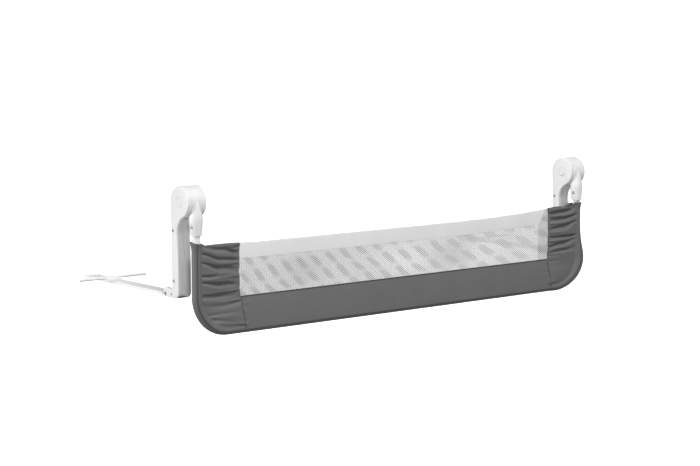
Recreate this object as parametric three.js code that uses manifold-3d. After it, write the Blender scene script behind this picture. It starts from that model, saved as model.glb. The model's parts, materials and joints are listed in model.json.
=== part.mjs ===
// Folding bed guard rail, shown with the rail lowered.
// Lengths are in millimetres. X runs along the rail, -Y is the room side, +Y is the bed side and +Z is up.
// The origin lies midway between the two arms, where the bed base meets the side of the mattress.
import * as THREE from "three";
import { mergeVertices } from "three/addons/utils/BufferGeometryUtils.js";
import Module from "manifold-3d";

const wasm = await Module();
wasm.setup();

// Driving sizes of the whole rail
const tubeSpacing = 1476; // between the two upright ends of the rail frame, centre to centre
const hingeHeight = 264; // fold axis above the bed base
const hingeForward = 41; // fold axis in front of the mattress side
const railForward = 37; // rail tubes in front of the fold axis, when lowered
const railDrop = 361; // bottom tube below the fold axis, when lowered

// Clearances
const touchGap = 0.3; // between faces that rest on each other
const runGap = 0.3; // round a shaft, pin or screw in its hole
const cradleGap = 2; // between the turning hub and the casings under it
const cutOverrun = 1; // how far a cutting body passes the face that it cuts
const seamGap = 0.3; // between two sewn panels

// Hinge drum and upright casing, seen along X
const drumRadius = 44.5;
const drumWidth = 60;
const casingWall = 2.5;
const postWidth = 46; // along X
const postBack = 41; // back face behind the fold axis
const postBackTop = 80; // depth below the axis where the back turns straight
const neckFront = 12.5; // front face at the narrowest place
const neckDrop = 88; // depth of the narrowest place below the axis
const postFront = 8.5; // front face lower down
const postFrontDrop = 160;
const soleDrop = 4; // sole below the underside of the arms
const footDrop = hingeHeight + soleDrop; // sole below the fold axis
const footCorner = 16; // radius of the front lower corner
const stubHeight = 26; // of the rearward foot that carries the arm
const stubTop = footDrop - stubHeight; // its top below the fold axis
const stubReach = 72; // centre of the foot's round end behind the fold axis
const stubInnerCorner = 4;
const faceRounding = 4; // round edge of the outer face
const innerRounding = 7; // round edge of the inner face
const lipWidth = 5; // rim that stands proud along the outer face
const lipStep = 4.8; // how far the front is set back behind the rim
const partingX = -5; // where the two casings meet
const hornTrim = 5; // the casing under the hub ends this far in front of the axis
const backTrim = 36; // and this far below the axis at the back

// Sole pad
const padBack = 62; // pad's rear end behind the fold axis
const padInnerX = 3;

// Release button
const buttonRadius = 14;
const buttonProud = 1;
const buttonTop = 2;
const buttonWall = 2;
const buttonTravel = 4;
const buttonRim = 2.5; // flange that keeps the button in the casing
const buttonRimThickness = 1.2;
const buttonFloorGap = 0.9; // left under the pressed button
const buttonLegRadius = 2;
const buttonLegCircle = 14;
const buttonLegs = 3;
const buttonWireRadius = 0.45;
const buttonSpringTurns = 3;

// Steel upright inside the casings
const uprightThickness = 2.5;
const uprightFit = 0.5; // round the upright inside the casing

// Axle and what it carries
const axleRadius = 6;
const axleHeadRadius = 8.5;
const axleHeadThickness = 1.2;
const hubSeatX = 14; // where the washer bears on the hub
const washerRadius = 12;
const washerThickness = 2;
const nutAcrossCorners = 19.6;
const nutThickness = 7.4;

// Lock plate and its spring
const lockRadius = 21.5;
const lockThickness = 3;
const lockEarTop = 28;
const lockEarRoot = 18;
const lockEarWidth = 9;
const lockEarLength = 7; // along X
const lockEarAngles = [90, 200, 320]; // unequal, so that the ears fit their windows only when raised
const lockFit = 0.4; // between the lock plate and its pocket
const lockWireRadius = 0.9;
const lockSpringRadius = 15;
const lockSpringTurns = 3.5;
const pocketFloorX = -2.2;
const raisedAngle = 180; // fold angle of the raised rail, in degrees

// Turning hub and its neck
const hubEdge = 4; // rounding of the inner end
const hubRecessRadius = 34.4;
const hubRecessDepth = 3;
const hubNutRoom = 13;
const hubNutEndX = 27;
const hubHollowInner = 17;
const hubHollowOuter = 33;
const hubHollowStartX = 4;
const capFit = 0.4;
const capPip = 6;
const neckLength = 90; // from the fold axis down to the end of the neck
const neckChamfer = 1.2;
const neckScrewDrop = 67;
const neckScrewShare = 1.66; // half width of the neck at its screw, as a share of the tube radius
// Sections of the neck, which is oval: depth below the axis as a share of neckLength, half width and half
// depth as shares of the tube radius, and forward place as a share of railForward
const neckSectionShares = [
  [1, 1.27, 1.27, 1],
  [0.985, 1.38, 1.36, 1],
  [0.9, 1.47, 1.42, 1],
  [neckScrewDrop / neckLength, neckScrewShare, 1.5, 0.99],
  [0.6, 1.78, 1.56, 0.97],
  [0.45, 1.78, 1.6, 0.94],
  [0.22, 1.5, 1.35, 0.9],
  [0, 1.2, 0.92, 0.92],
];
const neckSocketEnd = 40; // upper end of the tube in the neck, below the axis

// Screws and pins
const screwHeadRadius = 4.1;
const screwHeadHeight = 1.5;
const screwShankRadius = 1.9;
const screwSink = 0.2; // head below the surface
const screwBossWall = 2.3;
const screwTipGap = 3; // between the screw's tip and the casing face ahead of it
const upperScrew = [30.5, -81]; // behind and above the fold axis
const lowerScrew = [28.5, 52.5 - footDrop];
const footScrew = [41, 14 - footDrop];
const smallScrewScale = 0.62;
const pinRadius = 4;
const pinHeadRadius = 5;
const pinHeadHeight = 2;

// Arm under the mattress
const armReach = 500; // tip of the arm behind the fold axis
const armThickness = 7.5;
const armWall = 1.2;
const armCorner = 2;
const armTubeStart = 96; // where the flat tube begins, behind the fold axis
const tipLength = 12; // of the cap beyond the flat tube
const armTubeEnd = armReach - tipLength;
const shoulderStart = 88;
const tangLength = 40;
const tangFit = 0.4;
const tongueEye = 10.5;
const tongueInnerX = 5.7;
const tipFlare = 2; // how far the tip cap stands out past the arm
const tipTang = 22;
const crossbarBack = 122; // from the tip of the arm to the centre of the crossbar
const crossbarPlace = armReach - crossbarBack;
const crossbarLength = 226;
const crossbarRadius = 4.3;
const crossbarEndRound = 1;
const saddleFloor = 1.5; // between the arm and the crossbar
const saddleTail = 28; // from the crossbar's centre to the saddle's end towards the tip
const saddleThickness = 5; // of the tail, where the screws go
const saddleWall = 2.5;
const saddleLip = 6; // how far the saddle reaches down beside the arm
const saddleRound = 5; // front lower corner of the lips
const strapLength = 12; // of the saddle's strap over the crossbar
const strapRise = 1.2;
const crossbarScrewSpacing = 24;
const crossbarScrewBack = 17; // behind the crossbar's centre
const crossbarScrewPlace = crossbarPlace + crossbarScrewBack;
const crossbarScrewLength = 8;

// Rail frame
const tubeRadius = 11;
const tubeWall = 1.5;
const bendRadius = 100;
const cornerTubeRun = 118; // straight length after the bend
const cornerTubeEnd = tubeSpacing / 2 - bendRadius - cornerTubeRun; // joints' distance from the middle
const swageLength = 60;
const swageGap = 0.4;

// Fabric cover
const sleeveBore = 11.8;
const sleeveRadius = 14.3;
const coverTop = 118; // top edge below the fold axis
const collarRise = 9; // the sleeve stands this far above the top edge
const seamRun = 38; // from the end of the tube's bend to the mesh seam
const windowHalf = tubeSpacing / 2 - bendRadius - seamRun; // from the middle of the cover to the seams
const coverShift = 8; // the cover sits this far to the right on its frame
const hemBottom = 165; // lower edge of the top hem below the fold axis
const windowBottom = 270; // lower edge of the mesh
const hemThickness = 4;
const meshThickness = 1.6;
const bandTopThickness = 12;
const clothThickness = sleeveRadius - sleeveBore;
const foldDepth = 4.5;
const foldPitch = 25;
const foldFan = 0.15; // share by which the folds lean
const panelThickness = 10; // end panel between its folds
const stitchThickness = 4; // end panel beside the tube sleeve
const netColumns = 24;
const netRows = 4;
const netStrandShare = 0.3; // strand width as a share of the gap

// Numbers of faces
const roundSides = 20;
const smallSides = 8;
const hubSides = 32;
const tubeSides = 12;
const bendSteps = 8; // rings of a tube's bend
const panelColumns = 7;
const panelRows = 20;
const drumSteps = 16; // along the drum's part of the upright's outline
const sweepSteps = 5; // along the hollow front curve
const springSteps = 8; // per turn

// Materials
function paint(color, roughness, metalness = 0) {
  return new THREE.MeshStandardMaterial({ color, roughness, metalness });
}
const whitePlastic = paint(0xf0f0f0, 0.45);
const whiteSteel = paint(0xf4f4f4, 0.35, 0.1);
const bareSteel = paint(0x9a9c9e, 0.35, 0.9);
const blackRubber = paint(0x222222, 0.85);
const greyFabric = paint(0x6a6a6a, 0.9);
const whiteMesh = paint(0xdcdcdc, 0.9);
const whiteHem = paint(0xe8e8e8, 0.9);

const radians = THREE.MathUtils.degToRad;

// Turns a closed geometry into a solid that can be cut and joined. Its profile may run either way.
function solidOf(geometry) {
  const bare = geometry.clone();
  bare.deleteAttribute("normal");
  bare.deleteAttribute("uv");
  const merged = mergeVertices(bare, 1e-4);
  const vertProperties = new Float32Array(merged.attributes.position.array);
  const triVerts = new Uint32Array(merged.index.array);
  const made = new wasm.Manifold(new wasm.Mesh({ numProp: 3, vertProperties, triVerts }));
  if (made.volume() > 0) return made;
  const turned = triVerts.slice().reverse();
  return new wasm.Manifold(new wasm.Mesh({ numProp: 3, vertProperties, triVerts: turned }));
}

function geometryOf(solid) {
  const mesh = solid.getMesh();
  const geometry = new THREE.BufferGeometry();
  geometry.setAttribute("position", new THREE.BufferAttribute(mesh.vertProperties, 3));
  geometry.setIndex(new THREE.BufferAttribute(mesh.triVerts, 1));
  geometry.computeVertexNormals();
  return geometry;
}

function block(x0, x1, y0, y1, z0, z1) {
  const geometry = new THREE.BoxGeometry(x1 - x0, y1 - y0, z1 - z0);
  geometry.translate((x0 + x1) / 2, (y0 + y1) / 2, (z0 + z1) / 2);
  return solidOf(geometry);
}

function rodX(radius, x0, x1, y = 0, z = 0, sides = roundSides) {
  const geometry = new THREE.CylinderGeometry(radius, radius, x1 - x0, sides);
  geometry.rotateZ(-Math.PI / 2);
  geometry.translate((x0 + x1) / 2, y, z);
  return solidOf(geometry);
}

function rodZ(radius, z0, z1, x, y, sides = roundSides) {
  const geometry = new THREE.CylinderGeometry(radius, radius, z1 - z0, sides);
  geometry.rotateX(Math.PI / 2);
  geometry.translate(x, y, (z0 + z1) / 2);
  return solidOf(geometry);
}

// A body of revolution about a line along X: the profile holds [x, radius] and starts and ends on the line.
function turnedX(profile, y = 0, z = 0, sides = roundSides) {
  const points = profile.map(([x, radius]) => new THREE.Vector2(radius, x));
  const geometry = new THREE.LatheGeometry(points, sides);
  geometry.rotateZ(-Math.PI / 2);
  geometry.translate(0, y, z);
  return solidOf(geometry);
}

function turnedZ(profile, x, y, sides = roundSides) {
  const points = profile.map(([z, radius]) => new THREE.Vector2(radius, z));
  const geometry = new THREE.LatheGeometry(points, sides);
  geometry.rotateX(Math.PI / 2);
  geometry.translate(x, y, 0);
  return solidOf(geometry);
}

function shapeOf(outline, holes = []) {
  const shape = new THREE.Shape(outline.map(([a, b]) => new THREE.Vector2(a, b)));
  shape.holes = holes.map((hole) => new THREE.Path(hole.map(([a, b]) => new THREE.Vector2(a, b))));
  return shape;
}

// An outline of [y, z] points, extruded along X.
function plateX(outline, x0, x1, holes = []) {
  const options = { depth: x1 - x0, bevelEnabled: false };
  const geometry = new THREE.ExtrudeGeometry(shapeOf(outline, holes), options);
  const turn = new THREE.Matrix4().makeBasis(
    new THREE.Vector3(0, 1, 0),
    new THREE.Vector3(0, 0, 1),
    new THREE.Vector3(1, 0, 0),
  );
  geometry.applyMatrix4(turn);
  geometry.translate(x0, 0, 0);
  return solidOf(geometry);
}

// An outline of [x, z] points, extruded along Y.
function plateY(outline, y0, y1, holes = []) {
  const options = { depth: y1 - y0, bevelEnabled: false };
  const geometry = new THREE.ExtrudeGeometry(shapeOf(outline, holes), options);
  geometry.rotateX(Math.PI / 2);
  geometry.translate(0, y1, 0);
  return solidOf(geometry);
}

// An outline of [x, y] points, extruded along Z.
function plateZ(outline, z0, z1) {
  const options = { depth: z1 - z0, bevelEnabled: false };
  const geometry = new THREE.ExtrudeGeometry(shapeOf(outline), options);
  geometry.translate(0, 0, z0);
  return solidOf(geometry);
}

// A closed skin through rings of points. Every ring has the same count, and the two flat functions
// give the two coordinates in which the first and the last ring are closed.
function loft(rings, flatFirst, flatLast = flatFirst) {
  const count = rings[0].length;
  const positions = rings.flat().flatMap((point) => [point.x, point.y, point.z]);
  const index = [];
  for (let ring = 0; ring + 1 < rings.length; ring++) {
    for (let k = 0; k < count; k++) {
      const next = (k + 1) % count;
      const a = ring * count + k;
      const b = ring * count + next;
      index.push(a, b, a + count, b, b + count, a + count);
    }
  }
  const lastStart = (rings.length - 1) * count;
  for (const [a, b, c] of THREE.ShapeUtils.triangulateShape(rings[0].map(flatFirst), [])) {
    index.push(c, b, a);
  }
  const lastRing = rings[rings.length - 1].map(flatLast);
  for (const [a, b, c] of THREE.ShapeUtils.triangulateShape(lastRing, [])) {
    index.push(lastStart + a, lastStart + b, lastStart + c);
  }
  const geometry = new THREE.BufferGeometry();
  geometry.setAttribute("position", new THREE.Float32BufferAttribute(positions, 3));
  geometry.setIndex(index);
  return solidOf(geometry);
}

// Points on an arc, from one angle to another in degrees, ends included.
function arc(centreA, centreB, radius, from, to, steps) {
  const points = [];
  for (let k = 0; k <= steps; k++) {
    const angle = radians(from + ((to - from) * k) / steps);
    points.push([centreA + radius * Math.cos(angle), centreB + radius * Math.sin(angle)]);
  }
  return points;
}

// The angle, in degrees, at which a line from a point outside a circle round zero touches it.
function touchAngle(a, b, radius, turn) {
  const toPoint = Math.atan2(b, a);
  const spread = Math.acos(radius / Math.hypot(a, b));
  return THREE.MathUtils.radToDeg(toPoint + turn * spread);
}

// A rectangle of [a, b] points with round corners.
function roundedBox(a0, a1, b0, b1, radius, steps = 3) {
  return [
    ...arc(a1 - radius, b1 - radius, radius, 0, 90, steps),
    ...arc(a0 + radius, b1 - radius, radius, 90, 180, steps),
    ...arc(a0 + radius, b0 + radius, radius, 180, 270, steps),
    ...arc(a1 - radius, b0 + radius, radius, 270, 360, steps),
  ];
}

// Places along X in a bracket, counted from the middle of the drum
const faceX = -drumWidth / 2;
const postInnerX = faceX + postWidth;
const lipX = faceX + lipWidth;
const wallX = faceX + casingWall;
const buttonRimX = wallX + touchGap;
const buttonLegX = buttonRimX + buttonRimThickness;
const uprightX = buttonLegX + buttonTravel + buttonFloorGap;
const uprightInnerX = uprightX + uprightThickness;
const hubX = uprightInnerX + touchGap;
const lockDiscX = hubX + (lockEarLength - lockThickness) - touchGap * 3;
const stubEndRadius = (footDrop - stubTop) / 2;
const pinPlace = [stubReach, -(footDrop + stubTop) / 2];
const armBottom = -hingeHeight;
const armTop = armBottom + armThickness;
const cheekX = tongueInnerX + touchGap;

// Side outline of the upright: drum, hollow front curve, post and rearward foot. It runs
// anticlockwise in [y, z]. inset shrinks it all round and recess moves only the front back.
function bracketOutline({ inset = 0, recess = 0 } = {}) {
  const radius = drumRadius - inset;
  const back = postBack - inset;
  const narrowFront = neckFront + recess + inset;
  const lowFront = postFront + recess + inset;
  const sole = -footDrop + inset;
  const top = -stubTop - inset;
  const endRadius = stubEndRadius - inset;
  const corner = footCorner - inset;
  const innerCorner = stubInnerCorner + inset;
  // The front curve touches the drum from outside and the post where it is narrowest.
  const sweep = (narrowFront ** 2 + neckDrop ** 2 - radius ** 2) / (2 * (radius + narrowFront));
  const sweepY = narrowFront - sweep;
  const touch = THREE.MathUtils.radToDeg(Math.atan2(neckDrop, -sweepY));
  // The back line runs up to touch the drum.
  const lean = touchAngle(back, -postBackTop, radius, 1);
  return [
    ...arc(lowFront + corner, sole + corner, corner, 180, 270, 3),
    ...arc(stubReach, sole + endRadius, endRadius, -90, 90, 6),
    ...arc(back + innerCorner, top + innerCorner, innerCorner, 270, 180, 1),
    [back, -postBackTop],
    ...arc(0, 0, radius, lean, 180 + touch, drumSteps),
    ...arc(sweepY, -neckDrop, sweep, touch, 0, sweepSteps).slice(1),
    [lowFront, -postFrontDrop],
  ];
}

const atX = (x) => ([y, z]) => new THREE.Vector3(x, y, z);
const flatYZ = (point) => new THREE.Vector2(point.y, point.z);
const flatXY = (point) => new THREE.Vector2(point.x, point.y);

// The outline's full width from one X to another, with a round edge at the first.
function roundFacedPlate(x0, x1, rounding, recess) {
  const inward = Math.sign(x1 - x0);
  const rings = [0, 45, 90].map((degrees) => {
    const x = x0 + inward * rounding * (1 - Math.cos(radians(degrees)));
    const inset = rounding * (1 - Math.sin(radians(degrees)));
    return bracketOutline({ inset, recess }).map(atX(x));
  });
  rings.push(bracketOutline({ recess }).map(atX(x1)));
  return loft(rings, flatYZ);
}

// The room that the sole pad takes at the foot, grown by a margin.
function padRoom(x0, x1, margin = 0) {
  const low = -footDrop - cutOverrun * 5;
  return block(x0, x1, -drumRadius, padBack + margin, low, -footDrop + lipStep + margin);
}

function hubRoom(x0, x1, margin = 0) {
  return rodX(drumRadius + cradleGap + margin, x0, x1, 0, 0, hubSides);
}

// What is cut away round the hub above the post: the thin horns in front and behind.
function hornRoom(x0, x1) {
  const wide = drumRadius * 2;
  const front = block(x0, x1, -wide, -hornTrim, -neckDrop, wide);
  return front.add(block(x0, x1, -wide, wide, -backTrim, wide));
}

// The slot behind the post in which the arm's tongue turns.
function tongueRoom(x0, x1, margin = 0) {
  const far = stubReach + stubEndRadius * 2;
  const low = -footDrop - cutOverrun;
  return block(x0, x1, postBack + touchGap - margin, far, low, -stubTop + stubEndRadius);
}

function screwBoss(place, x0, x1, scale = 1) {
  return rodX((screwShankRadius + screwBossWall) * scale, x0, x1, place[0], place[1], smallSides);
}

function screwHole(place, x0, x1, scale = 1) {
  return rodX(screwShankRadius * scale + runGap, x0, x1, place[0], place[1], smallSides);
}

function headRoom(place, x, direction, scale = 1) {
  const depth = screwHeadHeight + screwSink + touchGap;
  const x0 = Math.min(x - direction * cutOverrun, x + direction * depth);
  const x1 = Math.max(x - direction * cutOverrun, x + direction * depth);
  return rodX(screwHeadRadius * scale + runGap, x0, x1, place[0], place[1], smallSides);
}

const casingScrews = [
  [upperScrew, 1],
  [lowerScrew, 1],
  [footScrew, smallScrewScale],
];

function makeOuterCasing() {
  let body = roundFacedPlate(faceX, lipX, faceRounding, 0);
  body = body.add(plateX(bracketOutline({ recess: lipStep }), lipX, uprightInnerX));
  const skirt = plateX(bracketOutline({ recess: lipStep }), uprightInnerX, partingX)
    .subtract(hubRoom(uprightInnerX, partingX + cutOverrun))
    .subtract(hornRoom(uprightInnerX, partingX + cutOverrun))
    .subtract(tongueRoom(uprightInnerX, partingX + cutOverrun));
  body = body.add(skirt).subtract(padRoom(lipX, partingX + cutOverrun));

  const inside = bracketOutline({ inset: casingWall, recess: lipStep });
  let hollow = plateX(inside, wallX, uprightInnerX + cutOverrun);
  const hollowSkirt = plateX(inside, uprightInnerX, partingX + cutOverrun)
    .subtract(hubRoom(uprightInnerX, partingX + 2 * cutOverrun, casingWall))
    .subtract(hornRoom(uprightInnerX, partingX + 2 * cutOverrun))
    .subtract(tongueRoom(uprightInnerX, partingX + 2 * cutOverrun, casingWall));
  hollow = hollow.add(hollowSkirt).subtract(padRoom(wallX, partingX + 2 * cutOverrun, casingWall));
  body = body.subtract(hollow);

  for (const [place, scale] of casingScrews) {
    const bossEnd = scale === 1 ? partingX : uprightInnerX;
    body = body.add(screwBoss(place, wallX - touchGap, bossEnd, scale));
    body = body.subtract(screwHole(place, faceX, bossEnd + cutOverrun, scale));
    body = body.subtract(headRoom(place, faceX, 1, scale));
  }
  const [pinY, pinZ] = pinPlace;
  body = body.add(rodX(pinHeadRadius + screwBossWall, wallX - touchGap, uprightX - touchGap, pinY, pinZ));
  body = body.subtract(rodX(pinRadius + runGap, faceX, uprightX, pinY, pinZ));
  body = body.subtract(
    rodX(pinHeadRadius + runGap, faceX - cutOverrun, faceX + pinHeadHeight + touchGap, pinY, pinZ),
  );
  return body.subtract(rodX(buttonRadius + runGap, faceX - cutOverrun, wallX + cutOverrun));
}

function makeInnerCasing() {
  const startX = partingX + touchGap;
  const wall = postInnerX - casingWall;
  let body = roundFacedPlate(postInnerX, startX, innerRounding, 0)
    .subtract(hubRoom(startX - cutOverrun, postInnerX + cutOverrun))
    .subtract(hornRoom(startX - cutOverrun, postInnerX + cutOverrun))
    .subtract(tongueRoom(startX - cutOverrun, cheekX))
    .subtract(padRoom(startX - cutOverrun, postInnerX + cutOverrun));
  const inside = bracketOutline({ inset: casingWall + innerRounding / 3, recess: 0 });
  const hollow = plateX(inside, startX - cutOverrun, wall)
    .subtract(hubRoom(startX - 2 * cutOverrun, wall + cutOverrun, casingWall))
    .subtract(hornRoom(startX - 2 * cutOverrun, wall + cutOverrun))
    .subtract(tongueRoom(startX - 2 * cutOverrun, cheekX + casingWall, casingWall))
    .subtract(padRoom(startX - 2 * cutOverrun, wall + cutOverrun, casingWall));
  body = body.subtract(hollow);
  for (const place of [upperScrew, lowerScrew]) {
    body = body.add(screwBoss(place, startX, wall + touchGap));
    body = body.subtract(screwHole(place, startX - cutOverrun, wall - screwTipGap / 2));
  }
  const [pinY, pinZ] = pinPlace;
  body = body.add(rodX(pinHeadRadius + screwBossWall, cheekX, wall + touchGap, pinY, pinZ));
  body = body.subtract(rodX(pinRadius + runGap, cheekX - cutOverrun, postInnerX + cutOverrun, pinY, pinZ));
  return body.subtract(
    rodX(
      pinHeadRadius + runGap,
      postInnerX - pinHeadHeight - touchGap,
      postInnerX + cutOverrun,
      pinY,
      pinZ,
    ),
  );
}

function lockEar(angle, x0, x1, fit) {
  const ear = block(x0, x1, lockEarRoot - fit, lockEarTop + fit, -lockEarWidth / 2 - fit, lockEarWidth / 2 + fit);
  return ear.rotate([angle, 0, 0]);
}

function makeUpright() {
  const outline = bracketOutline({ inset: casingWall + uprightFit, recess: lipStep });
  const x0 = uprightX - cutOverrun;
  const x1 = uprightInnerX + cutOverrun;
  let plate = plateX(outline, uprightX, uprightInnerX);
  plate = plate.subtract(padRoom(x0, x1, casingWall + uprightFit));
  plate = plate.subtract(rodX(axleRadius + runGap, x0, x1));
  for (let leg = 0; leg < buttonLegs; leg++) {
    const [y, z] = legPlace(leg);
    plate = plate.subtract(rodX(buttonLegRadius + lockFit, x0, x1, y, z, smallSides));
  }
  for (const angle of lockEarAngles) {
    plate = plate.subtract(lockEar(angle + raisedAngle, x0, x1, lockFit));
  }
  for (const [place, scale] of casingScrews) {
    plate = plate.subtract(screwBoss(place, x0, x1, scale + touchGap / screwBossWall));
  }
  return plate.subtract(rodX(pinRadius + runGap, x0, x1, pinPlace[0], pinPlace[1]));
}

function legPlace(leg) {
  const angle = radians(30 + (360 * leg) / buttonLegs);
  return [buttonLegCircle * Math.cos(angle), buttonLegCircle * Math.sin(angle)];
}

function makeButton() {
  const top = faceX - buttonProud;
  let button = turnedX([
    [top, 0],
    [top, buttonRadius - buttonProud],
    [top + buttonProud, buttonRadius],
    [buttonRimX, buttonRadius],
    [buttonRimX, buttonRadius + buttonRim],
    [buttonLegX, buttonRadius + buttonRim],
    [buttonLegX, buttonRadius - buttonWall],
    [top + buttonTop, buttonRadius - buttonWall],
    [top + buttonTop, 0],
  ]);
  const legEnd = lockDiscX - touchGap - buttonTravel;
  for (let leg = 0; leg < buttonLegs; leg++) {
    const [y, z] = legPlace(leg);
    button = button.add(rodX(buttonLegRadius, buttonRimX, legEnd, y, z, smallSides));
  }
  return button;
}

// A coil spring about X.
class Coil extends THREE.Curve {
  constructor(radius, x0, x1, turns) {
    super();
    Object.assign(this, { radius, x0, x1, turns });
  }
  getPoint(t, target = new THREE.Vector3()) {
    const angle = 2 * Math.PI * this.turns * t;
    const x = this.x0 + (this.x1 - this.x0) * t;
    return target.set(x, this.radius * Math.cos(angle), this.radius * Math.sin(angle));
  }
}

function makeSpring(radius, wire, x0, x1, turns) {
  const path = new Coil(radius, x0 + wire + touchGap, x1 - wire - touchGap, turns);
  const section = shapeOf(arc(0, 0, wire, 0, 360, 5).slice(0, -1));
  const options = { steps: Math.round(turns * springSteps), extrudePath: path, bevelEnabled: false };
  return solidOf(new THREE.ExtrudeGeometry(section, options));
}

function makeAxle() {
  const headX = uprightX - touchGap - axleHeadThickness;
  const end = hubSeatX + washerThickness + nutThickness + 4 * touchGap;
  return turnedX([
    [headX, 0],
    [headX, axleHeadRadius],
    [headX + axleHeadThickness, axleHeadRadius],
    [headX + axleHeadThickness, axleRadius],
    [end, axleRadius],
    [end + touchGap, axleRadius - touchGap],
    [end + touchGap, 0],
  ]);
}

function ringX(outer, inner, x0, x1, sides = roundSides) {
  return rodX(outer, x0, x1, 0, 0, sides).subtract(rodX(inner, x0 - cutOverrun, x1 + cutOverrun));
}

function makeWasher() {
  const x0 = hubSeatX + touchGap;
  return ringX(washerRadius, axleRadius + runGap, x0, x0 + washerThickness);
}

function makeNut() {
  const x0 = hubSeatX + washerThickness + 2 * touchGap;
  return ringX(nutAcrossCorners / 2, axleRadius + runGap, x0, x0 + nutThickness, 6);
}

function makeLockPlate() {
  let plate = rodX(lockRadius, lockDiscX, lockDiscX + lockThickness);
  for (const angle of lockEarAngles) plate = plate.add(lockEar(angle, hubX, hubX + lockEarLength, 0));
  return plate.subtract(rodX(axleRadius + lockFit, hubX - cutOverrun, lockDiscX + lockThickness + cutOverrun));
}

function neckRing([depthShare, widthShare, thicknessShare, placeShare]) {
  const middle = -railForward * placeShare;
  const round = arc(0, 0, tubeRadius, 0, 360, tubeSides + 2).slice(0, -1);
  return round.map(
    ([x, y]) =>
      new THREE.Vector3(x * widthShare, middle + y * thicknessShare, -neckLength * depthShare),
  );
}

const neckScrewX = -tubeRadius * neckScrewShare;

function makeHub() {
  const endX = drumWidth / 2;
  const edge = [0, 45, 90].map((degrees) => [
    endX - hubEdge * (1 - Math.sin(radians(degrees))),
    drumRadius - hubEdge * (1 - Math.cos(radians(degrees))),
  ]);
  let hub = turnedX([[hubX, 0], [hubX, drumRadius], ...edge, [endX, 0]], 0, 0, hubSides);
  hub = hub.add(loft(neckSectionShares.map(neckRing), flatXY));
  hub = hub.subtract(rodX(lockRadius + lockFit, hubX - cutOverrun, pocketFloorX));
  for (const angle of lockEarAngles) {
    hub = hub.subtract(lockEar(angle, hubX - cutOverrun, pocketFloorX, lockFit));
  }
  hub = hub.subtract(rodX(axleRadius + runGap, pocketFloorX - cutOverrun, hubSeatX + cutOverrun));
  hub = hub.subtract(rodX(hubNutRoom, hubSeatX, endX));
  hub = hub.subtract(ringX(hubHollowOuter, hubHollowInner, hubHollowStartX, endX));
  hub = hub.subtract(rodX(hubRecessRadius, endX - hubRecessDepth, endX + cutOverrun));
  const boreTop = -neckSocketEnd + touchGap;
  hub = hub.subtract(
    rodZ(tubeRadius + runGap, -neckLength - cutOverrun, boreTop, 0, -railForward, tubeSides + 2),
  );
  const screwPlace = [-railForward, -neckScrewDrop];
  hub = hub.subtract(screwHole(screwPlace, neckScrewX - 2 * cutOverrun, 0));
  return hub.subtract(headRoom(screwPlace, neckScrewX, 1));
}

function makeHubCap() {
  const inner = drumWidth / 2 - hubRecessDepth + touchGap;
  const outer = drumWidth / 2;
  const radius = hubRecessRadius - capFit;
  return turnedX([
    [inner, 0],
    [inner, radius],
    [outer - touchGap, radius],
    [outer, radius - capPip / 2],
    [outer, capPip],
    [outer - touchGap, capPip - touchGap],
    [outer - touchGap, 0],
  ]);
}

function makeScrewX(place, x, length, direction, scale = 1) {
  const head = x + direction * screwSink;
  const seat = head + direction * screwHeadHeight;
  const tip = seat + direction * length;
  const profile = [
    [head, 0],
    [head, screwHeadRadius * scale * 0.8],
    [head + direction * touchGap, screwHeadRadius * scale],
    [seat, screwHeadRadius * scale],
    [seat, screwShankRadius * scale],
    [tip - direction * screwShankRadius * scale, screwShankRadius * scale],
    [tip, 0],
  ];
  return turnedX(profile, place[0], place[1], smallSides);
}

function makeArmPin() {
  const start = faceX;
  const end = postInnerX;
  return turnedX(
    [
      [start + touchGap, 0],
      [start + touchGap, pinHeadRadius - touchGap],
      [start + 2 * touchGap, pinHeadRadius],
      [start + pinHeadHeight, pinHeadRadius],
      [start + pinHeadHeight, pinRadius],
      [end - pinHeadHeight, pinRadius],
      [end - pinHeadHeight, pinHeadRadius],
      [end - 2 * touchGap, pinHeadRadius],
      [end - touchGap, pinHeadRadius - touchGap],
      [end - touchGap, 0],
    ],
    pinPlace[0],
    pinPlace[1],
    smallSides + 2,
  );
}

function makeFootPad() {
  const outline = bracketOutline({ inset: touchGap / 2, recess: lipStep });
  const x0 = lipX + touchGap;
  const pad = plateX(outline, x0, padInnerX);
  return pad.intersect(padRoom(x0 - cutOverrun, padInnerX + cutOverrun, -touchGap));
}

function armSection(inset) {
  const radius = Math.max(armCorner - inset, armCorner / 4);
  return roundedBox(faceX + inset, postInnerX - inset, armBottom + inset, armTop - inset, radius, 2);
}

// A flat bar or tube along Y with the arm's section.
function armLength(y0, y1, inset) {
  return plateY(armSection(inset), y0, y1);
}

function makeArmKnuckle() {
  const tongueX = uprightInnerX + touchGap;
  const [pinY, pinZ] = pinPlace;
  const outline = [
    ...arc(pinY, pinZ, tongueEye, 90, 270, 8),
    [armTubeStart, armBottom],
    [armTubeStart, armTop],
  ];
  const tangInset = armWall + tangFit;
  const tubeFace = armTubeStart - touchGap;
  const shoulder = armLength(shoulderStart, tubeFace, 0);
  const tang = armLength(tubeFace - cutOverrun, tubeFace + tangLength, tangInset);
  const tongue = plateX(outline, tongueX, tongueInnerX).intersect(
    block(tongueX - cutOverrun, tongueInnerX + cutOverrun, 0, tubeFace, armBottom - tongueEye, 0),
  );
  return tongue
    .add(shoulder)
    .add(tang)
    .subtract(rodX(pinRadius + runGap, tongueX - cutOverrun, tongueInnerX + cutOverrun, pinY, pinZ));
}

const armMiddleX = (faceX + postInnerX) / 2;

function crossbarScrewHole(side, z0, z1) {
  const x = armMiddleX + (side * crossbarScrewSpacing) / 2;
  return rodZ(screwShankRadius + runGap, z0, z1, x, crossbarScrewPlace, smallSides);
}

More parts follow.
